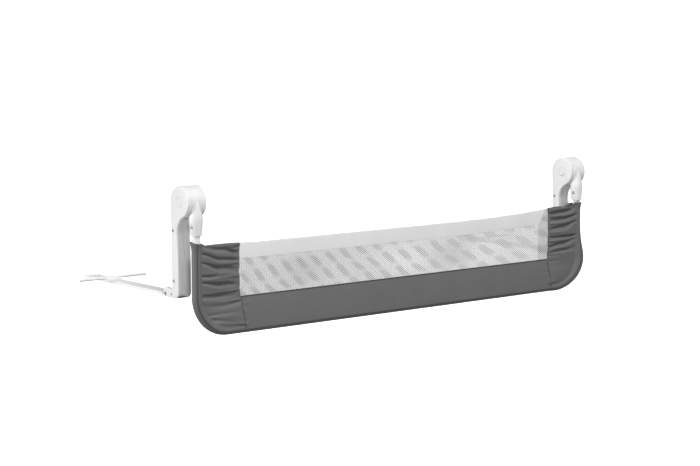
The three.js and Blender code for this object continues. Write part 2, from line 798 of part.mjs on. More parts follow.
function makeArmBar() {
  let bar = armLength(armTubeStart, armTubeEnd, 0);
  bar = bar.subtract(armLength(armTubeStart - cutOverrun, armTubeEnd + cutOverrun, armWall));
  for (const side of [-1, 1]) {
    bar = bar.subtract(crossbarScrewHole(side, armTop - 2 * armWall, armTop + cutOverrun));
  }
  return bar;
}

function makeArmTip() {
  const start = armTubeEnd + touchGap;
  const low = armBottom;
  const outline = [
    [faceX - tipFlare / 2, start],
    [postInnerX + tipFlare / 2, start],
    ...arc(postInnerX + tipFlare - armThickness, armReach - armThickness, armThickness, 0, 90, 4),
    ...arc(faceX - tipFlare + armThickness, armReach - armThickness, armThickness, 90, 180, 4),
  ];
  const cap = plateZ(outline, low, armTop + tipFlare / 2);
  return cap.add(armLength(start - tipTang, start + cutOverrun, armWall + tangFit));
}

// A round bar across the arm, held by a saddle that grips the flat tube and straps the bar down.
function makeCrossbar() {
  const low = armTop + touchGap;
  const axisZ = low + saddleFloor + crossbarRadius;
  const start = armMiddleX - crossbarLength / 2;
  const end = armMiddleX + crossbarLength / 2;
  const bar = turnedX(
    [
      [start, 0],
      [start, crossbarRadius - crossbarEndRound],
      [start + crossbarEndRound, crossbarRadius],
      [end - crossbarEndRound, crossbarRadius],
      [end, crossbarRadius - crossbarEndRound],
      [end, 0],
    ],
    crossbarPlace,
    axisZ,
    smallSides + 2,
  );
  const lipLow = armTop - saddleLip;
  const tailTop = low + saddleThickness;
  const y0 = crossbarPlace - crossbarRadius;
  const y1 = crossbarPlace + saddleTail;
  const outline = [
    ...arc(y0 + saddleRound, lipLow + saddleRound, saddleRound, 180, 270, 4),
    [y1, lipLow],
    [y1, tailTop],
    [crossbarPlace + 2 * crossbarRadius, tailTop],
    [crossbarPlace + crossbarRadius, axisZ],
    [y0, axisZ],
  ];
  const x0 = faceX - touchGap;
  const x1 = postInnerX + touchGap;
  let whole = plateX(outline, x0 - saddleWall, x1 + saddleWall);
  whole = whole.subtract(
    block(x0, x1, y0 - cutOverrun, y1 + cutOverrun, lipLow - cutOverrun, low),
  );
  const strapX = armMiddleX - strapLength / 2;
  const strapRadius = crossbarRadius + strapRise;
  const strapEnd = strapX + strapLength;
  const strap = rodX(strapRadius, strapX, strapEnd, crossbarPlace, axisZ, smallSides + 2);
  whole = whole.add(bar).add(strap);
  const headDepth = screwHeadHeight + screwSink + touchGap;
  for (const side of [-1, 1]) {
    const x = armMiddleX + (side * crossbarScrewSpacing) / 2;
    const room = screwHeadRadius + runGap;
    const top = tailTop + cutOverrun;
    whole = whole.subtract(crossbarScrewHole(side, low - cutOverrun, top));
    whole = whole.subtract(
      rodZ(room, tailTop - headDepth, top, x, crossbarScrewPlace, smallSides),
    );
  }
  return whole;
}

function makeCrossbarScrew(side) {
  const x = armMiddleX + (side * crossbarScrewSpacing) / 2;
  const head = armTop + touchGap + saddleThickness - screwSink;
  const seat = head - screwHeadHeight;
  const tip = seat - crossbarScrewLength;
  return turnedZ(
    [
      [tip, 0],
      [tip + screwShankRadius, screwShankRadius],
      [seat, screwShankRadius],
      [seat, screwHeadRadius],
      [head - touchGap, screwHeadRadius],
      [head, screwHeadRadius * 0.8],
      [head, 0],
    ],
    x,
    crossbarScrewPlace,
    smallSides,
  );
}

// The rail frame: two bent corner tubes and a straight tube between them, in fold-axis coordinates.
// side is -1 at the left end and 1 at the right end.
function cornerSweep(side, radius, topZ, endX, sides = tubeSides) {
  const tubeX = (side * tubeSpacing) / 2;
  const bendX = tubeX - side * bendRadius;
  const bendZ = -railDrop + bendRadius;
  const ring = (x, z, turn) =>
    arc(0, 0, radius, 0, 360, sides)
      .slice(0, -1)
      .map(
        ([out, back]) =>
          new THREE.Vector3(
            x + side * out * Math.cos(turn),
            -railForward + back,
            z - out * Math.sin(turn),
          ),
      );
  const rings = [ring(tubeX, topZ, 0)];
  for (let k = 0; k <= bendSteps; k++) {
    const turn = (Math.PI / 2) * (k / bendSteps);
    const x = bendX + side * bendRadius * Math.cos(turn);
    rings.push(ring(x, bendZ - bendRadius * Math.sin(turn), turn));
  }
  rings.push(ring(side * endX, -railDrop, Math.PI / 2));
  const flatTop = (point) => new THREE.Vector2(point.x * side, point.y);
  const flatEnd = (point) => new THREE.Vector2(-point.z, point.y);
  return loft(rings, flatTop, flatEnd);
}

function makeCornerTube(side) {
  const tube = cornerSweep(side, tubeRadius, -neckSocketEnd, cornerTubeEnd);
  const boreTop = -neckSocketEnd + cutOverrun;
  const boreEnd = cornerTubeEnd - cutOverrun;
  const bore = cornerSweep(side, tubeRadius - tubeWall, boreTop, boreEnd);
  const x = (side * tubeSpacing) / 2;
  const screwPlace = [-railForward, -neckScrewDrop];
  return tube.subtract(bore).subtract(screwHole(screwPlace, x + neckScrewX, x));
}

function makeBottomTube() {
  const full = cornerTubeEnd - touchGap;
  const swaged = full + swageLength;
  const swageRadius = tubeRadius - tubeWall - swageGap;
  const taper = tubeWall + swageGap;
  const outer = turnedX(
    [
      [-swaged, 0],
      [-swaged, swageRadius],
      [-full, swageRadius],
      [-full + taper, tubeRadius],
      [full - taper, tubeRadius],
      [full, swageRadius],
      [swaged, swageRadius],
      [swaged, 0],
    ],
    -railForward,
    -railDrop,
    tubeSides,
  );
  const bore = rodX(
    swageRadius - tubeWall,
    -swaged - cutOverrun,
    swaged + cutOverrun,
    -railForward,
    -railDrop,
    tubeSides,
  );
  return outer.subtract(bore);
}

// Fabric cover, in fold-axis coordinates
const seamX = (side) => side * windowHalf + coverShift;

// A soft sheet between two edges, given by its half thickness over a grid of columns and rows.
function quilt(columns, rows, place, halfThickness) {
  const positions = [];
  for (const face of [-1, 1]) {
    for (let i = 0; i <= columns; i++) {
      for (let j = 0; j <= rows; j++) {
        const [x, z] = place(i / columns, j / rows);
        positions.push(x, -railForward + face * halfThickness(x, z, face), z);
      }
    }
  }
  const faceCount = (columns + 1) * (rows + 1);
  const at = (face, i, j) => face * faceCount + i * (rows + 1) + j;
  const index = [];
  const quad = (a, b, c, d) => index.push(a, b, c, a, c, d);
  for (let i = 0; i < columns; i++) {
    for (let j = 0; j < rows; j++) {
      quad(at(0, i, j), at(0, i + 1, j), at(0, i + 1, j + 1), at(0, i, j + 1));
      quad(at(1, i, j), at(1, i, j + 1), at(1, i + 1, j + 1), at(1, i + 1, j));
    }
  }
  for (let i = 0; i < columns; i++) {
    quad(at(0, i, 0), at(1, i, 0), at(1, i + 1, 0), at(0, i + 1, 0));
    quad(at(0, i, rows), at(0, i + 1, rows), at(1, i + 1, rows), at(1, i, rows));
  }
  for (let j = 0; j < rows; j++) {
    quad(at(0, 0, j), at(0, 0, j + 1), at(1, 0, j + 1), at(1, 0, j));
    quad(at(0, columns, j), at(1, columns, j), at(1, columns, j + 1), at(0, columns, j + 1));
  }
  const geometry = new THREE.BufferGeometry();
  geometry.setAttribute("position", new THREE.Float32BufferAttribute(positions, 3));
  geometry.setIndex(index);
  return solidOf(geometry);
}

// Grey end panel: a sleeve round the corner tube and a ruched panel from the sleeve to the mesh.
function makeEndPanel(side) {
  const tubeX = (side * tubeSpacing) / 2;
  const bendX = tubeX - side * bendRadius;
  const bendZ = -railDrop + bendRadius;
  const innerX = seamX(side) + side * seamGap;
  const sleeveTop = -coverTop + collarRise;
  const sleeveEnd = Math.abs(innerX);
  const sleeve = cornerSweep(side, sleeveRadius, sleeveTop, sleeveEnd);
  const bore = cornerSweep(side, sleeveBore, sleeveTop + cutOverrun, sleeveEnd - cutOverrun);
  const width = Math.abs(innerX - tubeX);
  const place = (across, down) => {
    const x = innerX + (tubeX - innerX) * across;
    const beyond = Math.max(side * (x - bendX), 0);
    const bottom = bendZ - Math.sqrt(Math.max(bendRadius ** 2 - beyond ** 2, 0));
    return [x, -coverTop + (bottom + coverTop) * down];
  };
  // Folds run out from the mesh seam, fan upwards a little and die out towards the sleeve.
  const halfThickness = (x, z, face) => {
    const away = Math.abs(x - innerX) / width;
    const depth = -z - coverTop;
    const calm = THREE.MathUtils.smoothstep(-z, windowBottom - foldPitch, windowBottom + foldPitch);
    const fan = depth * (1 - foldFan * away) + face * foldPitch * foldFan;
    const strength = foldDepth * (1 - calm) * (1 - away ** 2);
    const flat = panelThickness + (stitchThickness - panelThickness) * away ** 4;
    return flat / 2 + foldDepth / 4 + (strength / 2) * Math.sin((2 * Math.PI * fan) / foldPitch);
  };
  const panel = quilt(panelColumns, panelRows, place, halfThickness);
  return sleeve.add(panel).subtract(bore);
}

// The lower band's section in [y, z]: two layers that run from the mesh down round the bottom tube.
function bandLoop(inset) {
  const half = bandTopThickness / 2 - inset;
  const radius = sleeveRadius - inset;
  const rise = railDrop - windowBottom - seamGap;
  const touch = touchAngle(-half, rise, radius, 1);
  return [
    [-railForward + half, -windowBottom - seamGap - inset],
    [-railForward - half, -windowBottom - seamGap - inset],
    ...arc(-railForward, -railDrop, radius, touch, touch + 2 * (270 - touch), 14),
  ];
}

// Grey band below the mesh: a cloth loop that hangs on the bottom tube and is closed at the mesh seam.
function makeLowerBand() {
  const x0 = seamX(-1) + seamGap;
  const x1 = seamX(1) - seamGap;
  return plateX(bandLoop(0), x0, x1, [bandLoop(clothThickness)]);
}

// White mesh window: a flat net of diagonal gaps.
function makeMesh() {
  const x0 = seamX(-1) + seamGap;
  const x1 = seamX(1) - seamGap;
  const z0 = -windowBottom;
  const z1 = -hemBottom - seamGap;
  const pitchX = (x1 - x0) / netColumns;
  const pitchZ = (z1 - z0) / netRows;
  const reachX = (pitchX / 2) * (1 - netStrandShare / 2);
  const reachZ = (pitchZ / 2) * (1 - netStrandShare / 2);
  const holes = [];
  for (let column = 0; column < netColumns; column++) {
    for (let row = 0; row < netRows; row++) {
      const x = x0 + pitchX * (column + 0.5);
      const z = z0 + pitchZ * (row + 0.5);
      holes.push([
        [x - reachX, z],
        [x, z - reachZ],
        [x + reachX, z],
        [x, z + reachZ],
      ]);
    }
  }
  const outline = [
    [x0, z0],
    [x1, z0],
    [x1, z1],
    [x0, z1],
  ];
  const half = meshThickness / 2;
  return plateY(outline, -railForward - half, -railForward + half, holes);
}

// White hem along the top of the mesh, folded over at its upper edge.
function makeHem() {
  const half = hemThickness / 2;
  const outline = [
    [-railForward + half, -hemBottom],
    ...arc(-railForward, -coverTop - half, half, 0, 180, 4),
    [-railForward - half, -hemBottom],
  ];
  return plateX(outline, seamX(-1) + seamGap, seamX(1) - seamGap);
}

const root = new THREE.Group();

function place(group, name, solid, material) {
  const mesh = new THREE.Mesh(geometryOf(solid), material);
  mesh.name = name;
  group.add(mesh);
}

// Both brackets are the same part, one at each end of the rail.
for (const [end, side] of [
  ["left", -1],
  ["right", 1],
]) {
  const bracket = new THREE.Group();
  bracket.position.set((side * tubeSpacing) / 2, -hingeForward, hingeHeight);
  root.add(bracket);
  const add = (name, solid, material) => place(bracket, end + "_" + name, solid, material);
  const seat = faceX + screwSink + screwHeadHeight;
  const innerWall = postInnerX - casingWall;
  const neckScrewLength = -neckScrewX - 3 * screwTipGap;
  const springSeat = faceX - buttonProud + buttonTop;

  add("outer_casing", makeOuterCasing(), whitePlastic);
  add("inner_casing", makeInnerCasing(), whitePlastic);
  add("steel_upright", makeUpright(), bareSteel);
  add("release_button", makeButton(), whitePlastic);
  const buttonSpringRadius = axleHeadRadius + 2 * buttonWireRadius + touchGap;
  const buttonSpring = makeSpring(
    buttonSpringRadius,
    buttonWireRadius,
    springSeat,
    uprightX,
    buttonSpringTurns,
  );
  add("button_spring", buttonSpring, bareSteel);
  add("hinge_axle", makeAxle(), bareSteel);
  add("axle_washer", makeWasher(), bareSteel);
  add("axle_nut", makeNut(), bareSteel);
  add("lock_plate", makeLockPlate(), bareSteel);
  const lockSpring = makeSpring(
    lockSpringRadius,
    lockWireRadius,
    lockDiscX + lockThickness,
    pocketFloorX,
    lockSpringTurns,
  );
  add("lock_spring", lockSpring, bareSteel);
  add("hinge_hub", makeHub(), whitePlastic);
  add("hub_cap", makeHubCap(), whitePlastic);
  const longScrew = innerWall - screwTipGap - seat;
  add("upper_screw", makeScrewX(upperScrew, faceX, longScrew, 1), bareSteel);
  add("lower_screw", makeScrewX(lowerScrew, faceX, longScrew, 1), bareSteel);
  const shortScrew = uprightInnerX - seat;
  add("foot_screw", makeScrewX(footScrew, faceX, shortScrew, 1, smallScrewScale), bareSteel);
  const neckScrewPlace = [-railForward, -neckScrewDrop];
  add("neck_screw", makeScrewX(neckScrewPlace, neckScrewX, neckScrewLength, 1), bareSteel);
  add("foot_pad", makeFootPad(), blackRubber);
  add("arm_pin", makeArmPin(), bareSteel);
  add("arm_knuckle", makeArmKnuckle(), whiteSteel);
  add("arm_bar", makeArmBar(), whiteSteel);
  add("arm_tip", makeArmTip(), whitePlastic);
  add("crossbar", makeCrossbar(), whitePlastic);
  add("crossbar_outer_screw", makeCrossbarScrew(-1), bareSteel);
  add("crossbar_inner_screw", makeCrossbarScrew(1), bareSteel);
}

const rail = new THREE.Group();
rail.position.set(0, -hingeForward, hingeHeight);
root.add(rail);
place(rail, "left_corner_tube", makeCornerTube(-1), whiteSteel);
place(rail, "right_corner_tube", makeCornerTube(1), whiteSteel);
place(rail, "bottom_tube", makeBottomTube(), whiteSteel);
place(rail, "left_end_panel", makeEndPanel(-1), greyFabric);
place(rail, "right_end_panel", makeEndPanel(1), greyFabric);
place(rail, "lower_band", makeLowerBand(), greyFabric);
place(rail, "mesh_window", makeMesh(), whiteMesh);
place(rail, "top_hem", makeHem(), whiteHem);

export default root;
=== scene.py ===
# The looks of a folding bed guard rail, shown lowered. Lengths are in metres.
# X runs along the rail, -Y is the room side, +Y is the bed side and +Z is up.
import json
import math

import bpy
from mathutils import Matrix, Vector, noise

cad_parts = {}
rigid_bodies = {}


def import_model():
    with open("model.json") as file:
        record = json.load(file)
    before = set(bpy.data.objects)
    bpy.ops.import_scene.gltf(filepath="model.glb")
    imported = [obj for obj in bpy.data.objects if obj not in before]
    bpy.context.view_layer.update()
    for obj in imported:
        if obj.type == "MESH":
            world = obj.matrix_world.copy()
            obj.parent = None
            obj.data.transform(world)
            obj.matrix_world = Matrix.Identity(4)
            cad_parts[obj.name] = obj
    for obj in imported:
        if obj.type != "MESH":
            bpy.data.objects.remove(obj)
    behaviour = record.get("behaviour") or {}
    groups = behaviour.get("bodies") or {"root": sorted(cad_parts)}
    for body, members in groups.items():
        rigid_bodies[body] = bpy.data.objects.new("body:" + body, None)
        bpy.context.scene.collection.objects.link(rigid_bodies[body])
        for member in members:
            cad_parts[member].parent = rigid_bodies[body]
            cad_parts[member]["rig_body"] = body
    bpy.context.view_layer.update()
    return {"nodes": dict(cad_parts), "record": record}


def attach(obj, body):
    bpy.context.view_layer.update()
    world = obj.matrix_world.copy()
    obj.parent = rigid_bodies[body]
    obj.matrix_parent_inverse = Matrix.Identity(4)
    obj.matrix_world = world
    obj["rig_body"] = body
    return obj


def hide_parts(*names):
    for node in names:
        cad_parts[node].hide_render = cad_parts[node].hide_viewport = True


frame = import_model()

MM = 0.001
FULL_TURN = 2 * math.pi
WELD = 0.02 * MM

# Whole rail
TUBE_SPACING = 1476 * MM
HINGE = Vector((-TUBE_SPACING / 2, -41 * MM, 264 * MM))
TUBE_Y = HINGE.y - 37 * MM
TUBE_TOP = HINGE.z - 40 * MM
TUBE_BOTTOM = HINGE.z - 361 * MM
BEND_RADIUS = 100 * MM
BEND_TOP = TUBE_BOTTOM + BEND_RADIUS
CORNER_END = 118 * MM
TUBE_RADIUS = 11 * MM

# Upright casing, in the left bracket's own places round the fold axis
FACE_X = -30 * MM
POST_INNER_X = 16 * MM
LIP_X = -25 * MM
HUB_X = -18.3 * MM
PARTING_X = -5 * MM
DRUM_RADIUS = 44.5 * MM
DRUM_INNER_X = 31.5 * MM
CRADLE_RADIUS = 46.5 * MM
POST_BACK = 41 * MM
POST_BACK_TOP = -80 * MM
NECK_FRONT = 12.5 * MM
NECK_FRONT_Z = -88 * MM
POST_FRONT = 8.5 * MM
POST_FRONT_Z = -160 * MM
FOOT_CORNER = 16 * MM
SOLE_Z = -268 * MM
STUB_HEIGHT = 26 * MM
STUB_REACH = 72 * MM
STUB_CORNER = 4 * MM
RECESS = 4.8 * MM
FACE_ROUNDING = 4 * MM
INNER_ROUNDING = 6 * MM
PARTING_ROUNDING = 0.5 * MM
HORN_Y = -5 * MM
HORN_Z = -36 * MM
WIDE = 3 * DRUM_RADIUS
PAD_INNER_X = 3 * MM
PAD_BACK = 62 * MM
PAD_RECESS = 0.2 * MM
PAD_ROUNDING = 0.8 * MM
PAD_ROUNDED_UP_TO = 1 * MM
ARM_SLOT_X = 6 * MM
OVERRUN = 4 * MM
FACE_MARGIN = 0.1 * MM
JOIN = 0.3 * MM
HUB_CENTRE = (-0.5 * MM, -0.8 * MM)
HUB_RADIUS = 44.6 * MM
HUB_EDGE = 2.5 * MM
HUB_INNER_EDGE = 4 * MM
HUB_GAP = 1.2 * MM
WEB_X = -9 * MM
RIM_LINE = (
    # height, and the rim's inner edge across the bracket, in mm
    (-112, -25.8),
    (-99, -25.4),
    (-81, -23.8),
    (-68, -20.6),
    (-54, -16.8),
    (-46, -13.6),
    (-40, -9),
)

# Button, cap, screws and pin. A profile gives the way along X from where it starts, and the
# radius there, in mm.
BUTTON_RADIUS = 14 * MM
BUTTON_PROUD = 1 * MM
BUTTON_PROFILE = (
    (0.35, 0), (0.3, 4.9), (0, 11.2), (0, 12.8), (0.3, 13.5), (1.2, 14), (4.4, 14), (4.4, 12),
    (2, 12), (2, 0),
)
CAP_RADIUS = 34 * MM
CAP_GAP = 0.4 * MM
CAP_ROOM = 3 * MM
CAP_PROFILE = ((-2.6, 0), (-2.6, 34), (-0.9, 34), (-0.3, 33.4), (-0.3, 6.4), (-0.9, 6), (-0.9, 0))
SCREW_RADIUS = 4.1 * MM
SMALL_SCREW_RADIUS = 2.6 * MM
SCREW_SINK = 0.9 * MM
SCREW_HEAD = 1.5 * MM
SCREW_SHANK = 0.46
SCREW_POINT = 0.4
SCREW_DOME = (
    # depth below the top in mm, and share of the head's radius
    (0, 0),
    (0.1, 0.55),
    (0.35, 0.86),
    (0.8, 1),
    (1.5, 1),
    (1.5, SCREW_SHANK),
)
CROSS_LONG = 0.62
CROSS_SHORT = 0.14
CROSS_DEPTH = 1 * MM
PIN_HEAD_RADIUS = 5 * MM
PIN_PROFILE = (
    (0.5, 0), (0.6, 1.4), (1.2, 1.6), (0.6, 2.4), (0.5, 4.2), (1.1, 5), (2, 5), (2, 4),
    (45.7, 4), (45.7, 0),
)
WELL_GAP = 0.5 * MM
WELL_DEPTH = 4 * MM
BUTTON_WELL = 12 * MM
UPPER_SCREW = (30.5 * MM, -81 * MM)
LOWER_SCREW = (28.5 * MM, -219.5 * MM)
FOOT_SCREW = (41 * MM, -258 * MM)
PIN = (72 * MM, -259 * MM)
CASING_SCREW_LENGTH = 9 * MM
FOOT_SCREW_LENGTH = 7 * MM
NECK_SCREW_LENGTH = 8 * MM

# Neck of the hub
NECK_RINGS = (
    # height, half width, half depth and middle, in mm from the fold axis
    (-91, 14.4, 14.4, -37),
    (-89.8, 15.7, 15.7, -37),
    (-81, 16.6, 16.6, -37),
    (-67, 17.8, 17.8, -37),
    (-54, 18.8, 19.2, -36.6),
    (-43, 19.0, 20.2, -36.5),
    (-36, 17.6, 19.6, -36.2),
    (-24, 15.6, 18.0, -35.6),
    (-12, 12.2, 15.6, -35.0),
    (0, 8.0, 12.8, -35.0),
    (12, 4.0, 10.0, -35.0),
)
NECK_LINE = (0, -37 * MM)
NECK_SCREW = (-37 * MM, -66 * MM)
NECK_SCREW_X = -17.8 * MM
NECK_SCREW_IN = 1.2 * MM
NECK_SCREW_TURN = 13.7
NECK_WELL = 5 * MM

# Cover
COVER_TOP = HINGE.z - 122.3 * MM
LEFT_TOP = COVER_TOP + 1.8 * MM
RIGHT_TOP = COVER_TOP + 13.8 * MM
COLLAR_RISE = 10 * MM
COLLAR_HEM = 17 * MM
HEM_WIDTH = 43.2 * MM
BAND_TOP = HINGE.z - 270 * MM
LEFT_SEAM = -592 * MM
RIGHT_SEAM = 608 * MM
SLEEVE_RADIUS = 13.6 * MM
STITCH_IN = 12.4 * MM
SEAM_LEAN = 0.1
RIGHT_SLACK = 16 * MM
HEM_END_LOW = 567 * MM
HEM_END_TOP = 597 * MM


# Modelling helpers

def start():
    """Leaves nothing selected, so that an operator acts on the new piece alone."""
    if bpy.context.object and bpy.context.object.mode != "OBJECT":
        bpy.ops.object.mode_set(mode="OBJECT")
    bpy.ops.object.select_all(action="DESELECT")


def pick(piece):
    """Selects the piece alone."""
    start()
    bpy.context.view_layer.objects.active = piece
    piece.select_set(True)


def named(name):
    made = bpy.context.object
    made.name = name
    made.data.name = name
    return made


def edit(piece, selected=True):
    pick(piece)
    bpy.ops.object.mode_set(mode="EDIT")
    bpy.ops.mesh.select_all(action="SELECT" if selected else "DESELECT")


def done(piece):
    """Back to object mode, with the piece's place kept in its mesh."""
    bpy.ops.object.mode_set(mode="OBJECT")
    bpy.ops.object.transform_apply(location=True, rotation=True, scale=True)
    return piece


def clean(piece):
    """Merges what meets and turns the faces outwards."""
    edit(piece)
    bpy.ops.mesh.remove_doubles(threshold=WELD)
    bpy.ops.mesh.normals_make_consistent(inside=False)
    return done(piece)


def smooth(piece, angle=32):
    pick(piece)
    bpy.ops.object.shade_smooth_by_angle(angle=math.radians(angle))
    return piece


def apply(piece, kind, **settings):
    """Adds a modifier of that kind and applies it."""
    pick(piece)
    made = piece.modifiers.new(kind.title(), kind)
    for key, value in settings.items():
        setattr(made, key, value)
    bpy.ops.object.modifier_apply(modifier=made.name)
    return piece


def cut(piece, cutter, operation="DIFFERENCE"):
    apply(piece, "BOOLEAN", operation=operation, object=cutter, solver="EXACT")
    bpy.data.objects.remove(cutter)
    return piece


def join(piece, *others):
    pick(piece)
    for other in others:
        other.select_set(True)
    bpy.ops.object.join()
    return piece


def block(name, low, high):
    """A block between two corners, placed from the left bracket's fold axis."""
    start()
    low, high = HINGE + Vector(low), HINGE + Vector(high)
    bpy.ops.mesh.primitive_cube_add(size=1, location=(low + high) / 2)
    made = named(name)
    made.scale = high - low
    bpy.ops.object.transform_apply(location=True, rotation=True, scale=True)
    return made


def upright_at(x, y, z):
    """Turns a rod along X at the fold axis to stand at a place in the bracket."""
    turn = Matrix.Rotation(math.pi / 2, 4, "Y")
    return Matrix.Translation(HINGE + Vector((x, y, z))) @ turn @ Matrix.Translation(-HINGE)


def rod(name, radius, x0, x1, y, z, sides=64):
    """A cylinder along X, placed from the left bracket's fold axis."""
    start()
    bpy.ops.mesh.primitive_cylinder_add(
        vertices=sides,
        radius=radius,
        depth=x1 - x0,
        rotation=(0, math.pi / 2, 0),
        location=HINGE + Vector(((x0 + x1) / 2, y, z)),
    )
    made = named(name)
    bpy.ops.object.transform_apply(location=True, rotation=True, scale=True)
    return made


def disc(name, radius, place, sides):
    """A level disc, from which a tube or a neck is drawn out."""
    start()
    bpy.ops.mesh.primitive_circle_add(vertices=sides, radius=radius, fill_type="NGON", location=place)
    made = named(name)
    edit(made)
    return made


def point_at(name, place):
    """A single point, from which lines are drawn."""
    start()
    bpy.ops.mesh.primitive_plane_add(size=MM, location=place)
    made = named(name)
    edit(made)
    bpy.ops.mesh.merge(type="CENTER")
    return made


def extrude(move):
    bpy.ops.mesh.extrude_region_move(TRANSFORM_OT_translate={"value": move})


def edit_edges(piece, chosen):
    """Selects the edges whose middle and direction are chosen, in edit mode."""
    edit(piece, selected=False)
    bpy.ops.object.mode_set(mode="OBJECT")
    points = piece.data.vertices
    for line in piece.data.edges:
        a, b = (points[k].co for k in line.vertices)
        line.select = chosen((a + b) / 2, (b - a).normalized())
    bpy.ops.object.mode_set(mode="EDIT")
    bpy.ops.mesh.select_mode(type="EDGE")


def bevel_where(piece, chosen, width, segments):
    """Rounds the edges whose middle and direction are chosen."""
    edit_edges(piece, chosen)
    bpy.ops.mesh.bevel(offset=width, segments=segments, affect="EDGES", clamp_overlap=False)
    bpy.ops.mesh.select_mode(type="VERT")
    return done(piece)


def draw(name, x, first, strokes):
    """A flat face in a plane across X, drawn from point to point. A stroke is the next point in
    (y, z), or an arc's centre, its angle in degrees and its number of steps."""
    made = point_at(name, HINGE + Vector((x, *first)))
    here = Vector(first)
    for stroke in strokes:
        if len(stroke) == 2:
            there = Vector(stroke)
            extrude(Vector((0, *(there - here))))
            here = there
            continue
        centre, angle, steps = stroke
        turn = math.radians(angle)
        pivot = HINGE + Vector((x, *centre))
        bpy.ops.mesh.spin(steps=steps, angle=-turn, center=pivot, axis=(1, 0, 0))
        arm = here - Vector(centre)
        swung = Vector((
            arm.x * math.cos(turn) - arm.y * math.sin(turn),
            arm.x * math.sin(turn) + arm.y * math.cos(turn),
        ))
        here = Vector(centre) + swung
    bpy.ops.mesh.select_all(action="SELECT")
    bpy.ops.mesh.remove_doubles(threshold=WELD)
    bpy.ops.mesh.edge_face_add()
    return done(made)


def thicken(piece, distance):
    """Extrudes a drawn face along X into a solid."""
    edit(piece)
    extrude((distance, 0, 0))
    bpy.ops.mesh.select_all(action="SELECT")
    bpy.ops.mesh.normals_make_consistent(inside=False)
    return done(piece)


def turned(name, profile, place, sides=48):
    """A round form about a line along X. The profile is drawn as (x, radius) and then spun."""
    line = HINGE + Vector((0, *place))
    made = point_at(name, line + Vector((profile[0][0], 0, profile[0][1])))
    for last, point in zip(profile, profile[1:]):
        extrude((point[0] - last[0], 0, point[1] - last[1]))
    bpy.ops.mesh.select_all(action="SELECT")
    bpy.ops.mesh.spin(steps=sides, angle=FULL_TURN, center=line, axis=(1, 0, 0))
    bpy.ops.mesh.select_all(action="SELECT")
    bpy.ops.mesh.remove_doubles(threshold=WELD)
    bpy.ops.mesh.normals_make_consistent(inside=False)
    return done(made)


def in_mm(first, profile):
    """The same profile in metres, from its first place along X."""
    return [(first + way * MM, radius * MM) for way, radius in profile]


def rounded(x0, r0, x1, r1, steps=6):
    """Points of a quarter round from (x0, r0) to (x1, r1), leaving along X at the first."""
    points = []
    for k in range(steps + 1):
        turn = math.pi / 2 * k / steps
        points.append((x0 + (x1 - x0) * math.sin(turn), r1 + (r0 - r1) * math.cos(turn)))
    return points


# Finishes

class Shade:
    """A value or a colour in a finish's nodes. Python's operators add its Math nodes."""

    def __init__(self, finish, socket):
        self.finish = finish
        self.socket = socket

    def math(self, operation, *values):
        return self.finish.node("ShaderNodeMath", {"operation": operation}, dict(enumerate(values)))

    def __add__(self, other):
        return self.math("ADD", self, other)

    def __sub__(self, other):
        return self.math("SUBTRACT", self, other)

    def __rsub__(self, other):
        return self.math("SUBTRACT", other, self)

    def __mul__(self, other):
        return self.math("MULTIPLY", self, other)

    __radd__ = __add__
    __rmul__ = __mul__

    def sine(self):
        return self.math("SINE", self)

    def size(self):
        return self.math("ABSOLUTE", self)

    def root(self):
        return self.math("SQRT", self)

    def or_nought(self):
        return self.math("MAXIMUM", self, 0.0)

    def between(self, low, high):
        """0 below low and 1 above high, or the other way round if low is the larger."""
        inputs = {"Value": self, "From Min": low, "From Max": high}
        if low > high:
            inputs = {"Value": self, "From Min": high, "From Max": low, "To Min": 1.0, "To Max": 0.0}
        return self.finish.node("ShaderNodeMapRange", {"interpolation_type": "SMOOTHSTEP"}, inputs)


class Finish:
    """A material with a principled surface, and the means to build its nodes."""

    def __init__(self, name, **values):
        self.data = bpy.data.materials.new(name)
        self.data.use_nodes = True
        self.tree = self.data.node_tree
        self.surface = self.tree.nodes["Principled BSDF"]
        self.place = self.node("ShaderNodeTexCoord", output="Object")
        self.set(**values)

    def node(self, kind, settings=None, inputs=None, output=0):
        made = self.tree.nodes.new(kind)
        for key, value in (settings or {}).items():
            setattr(made, key, value)
        for key, value in (inputs or {}).items():
            self.link(made.inputs[key], value)
        return Shade(self, made.outputs[output])

    def link(self, socket, value):
        if isinstance(value, Shade):
            self.tree.links.new(value.socket, socket)
        else:
            socket.default_value = value

    def set(self, **values):
        for key, value in values.items():
            self.link(self.surface.inputs[key.replace("_", " ").title().replace("Ior", "IOR")], value)

    def axes(self):
        """The place's X, Y and Z, in metres."""
        split = self.node("ShaderNodeSeparateXYZ", {}, {0: self.place}).socket.node
        return [Shade(self, split.outputs[k]) for k in range(3)]

    def noise(self, pitch, detail, stretch=(1, 1, 1)):
        """Soft noise about 0.5 that changes over a pitch in metres."""
        at = self.node("ShaderNodeMapping", {}, {"Vector": self.place, "Scale": stretch})
        inputs = {"Vector": at, "Scale": 1 / pitch, "Detail": detail}
        return self.node("ShaderNodeTexNoise", {}, inputs)

    def blend(self, share, a, b):
        """A grey from tone a to tone b, or between two colours."""
        ends = [end if isinstance(end, Shade) else grey(end) for end in (a, b)]
        settings = {"data_type": "RGBA", "clamp_factor": True}
        return self.node("ShaderNodeMix", settings, {0: share, 6: ends[0], 7: ends[1]}, output=2)

    def relief(self, height, distance, strength):
        inputs = {"Height": height, "Distance": distance, "Strength": strength}
        self.set(Normal=self.node("ShaderNodeBump", {}, inputs, output="Normal"))


def grey(value):
    return (value, value, value, 1)


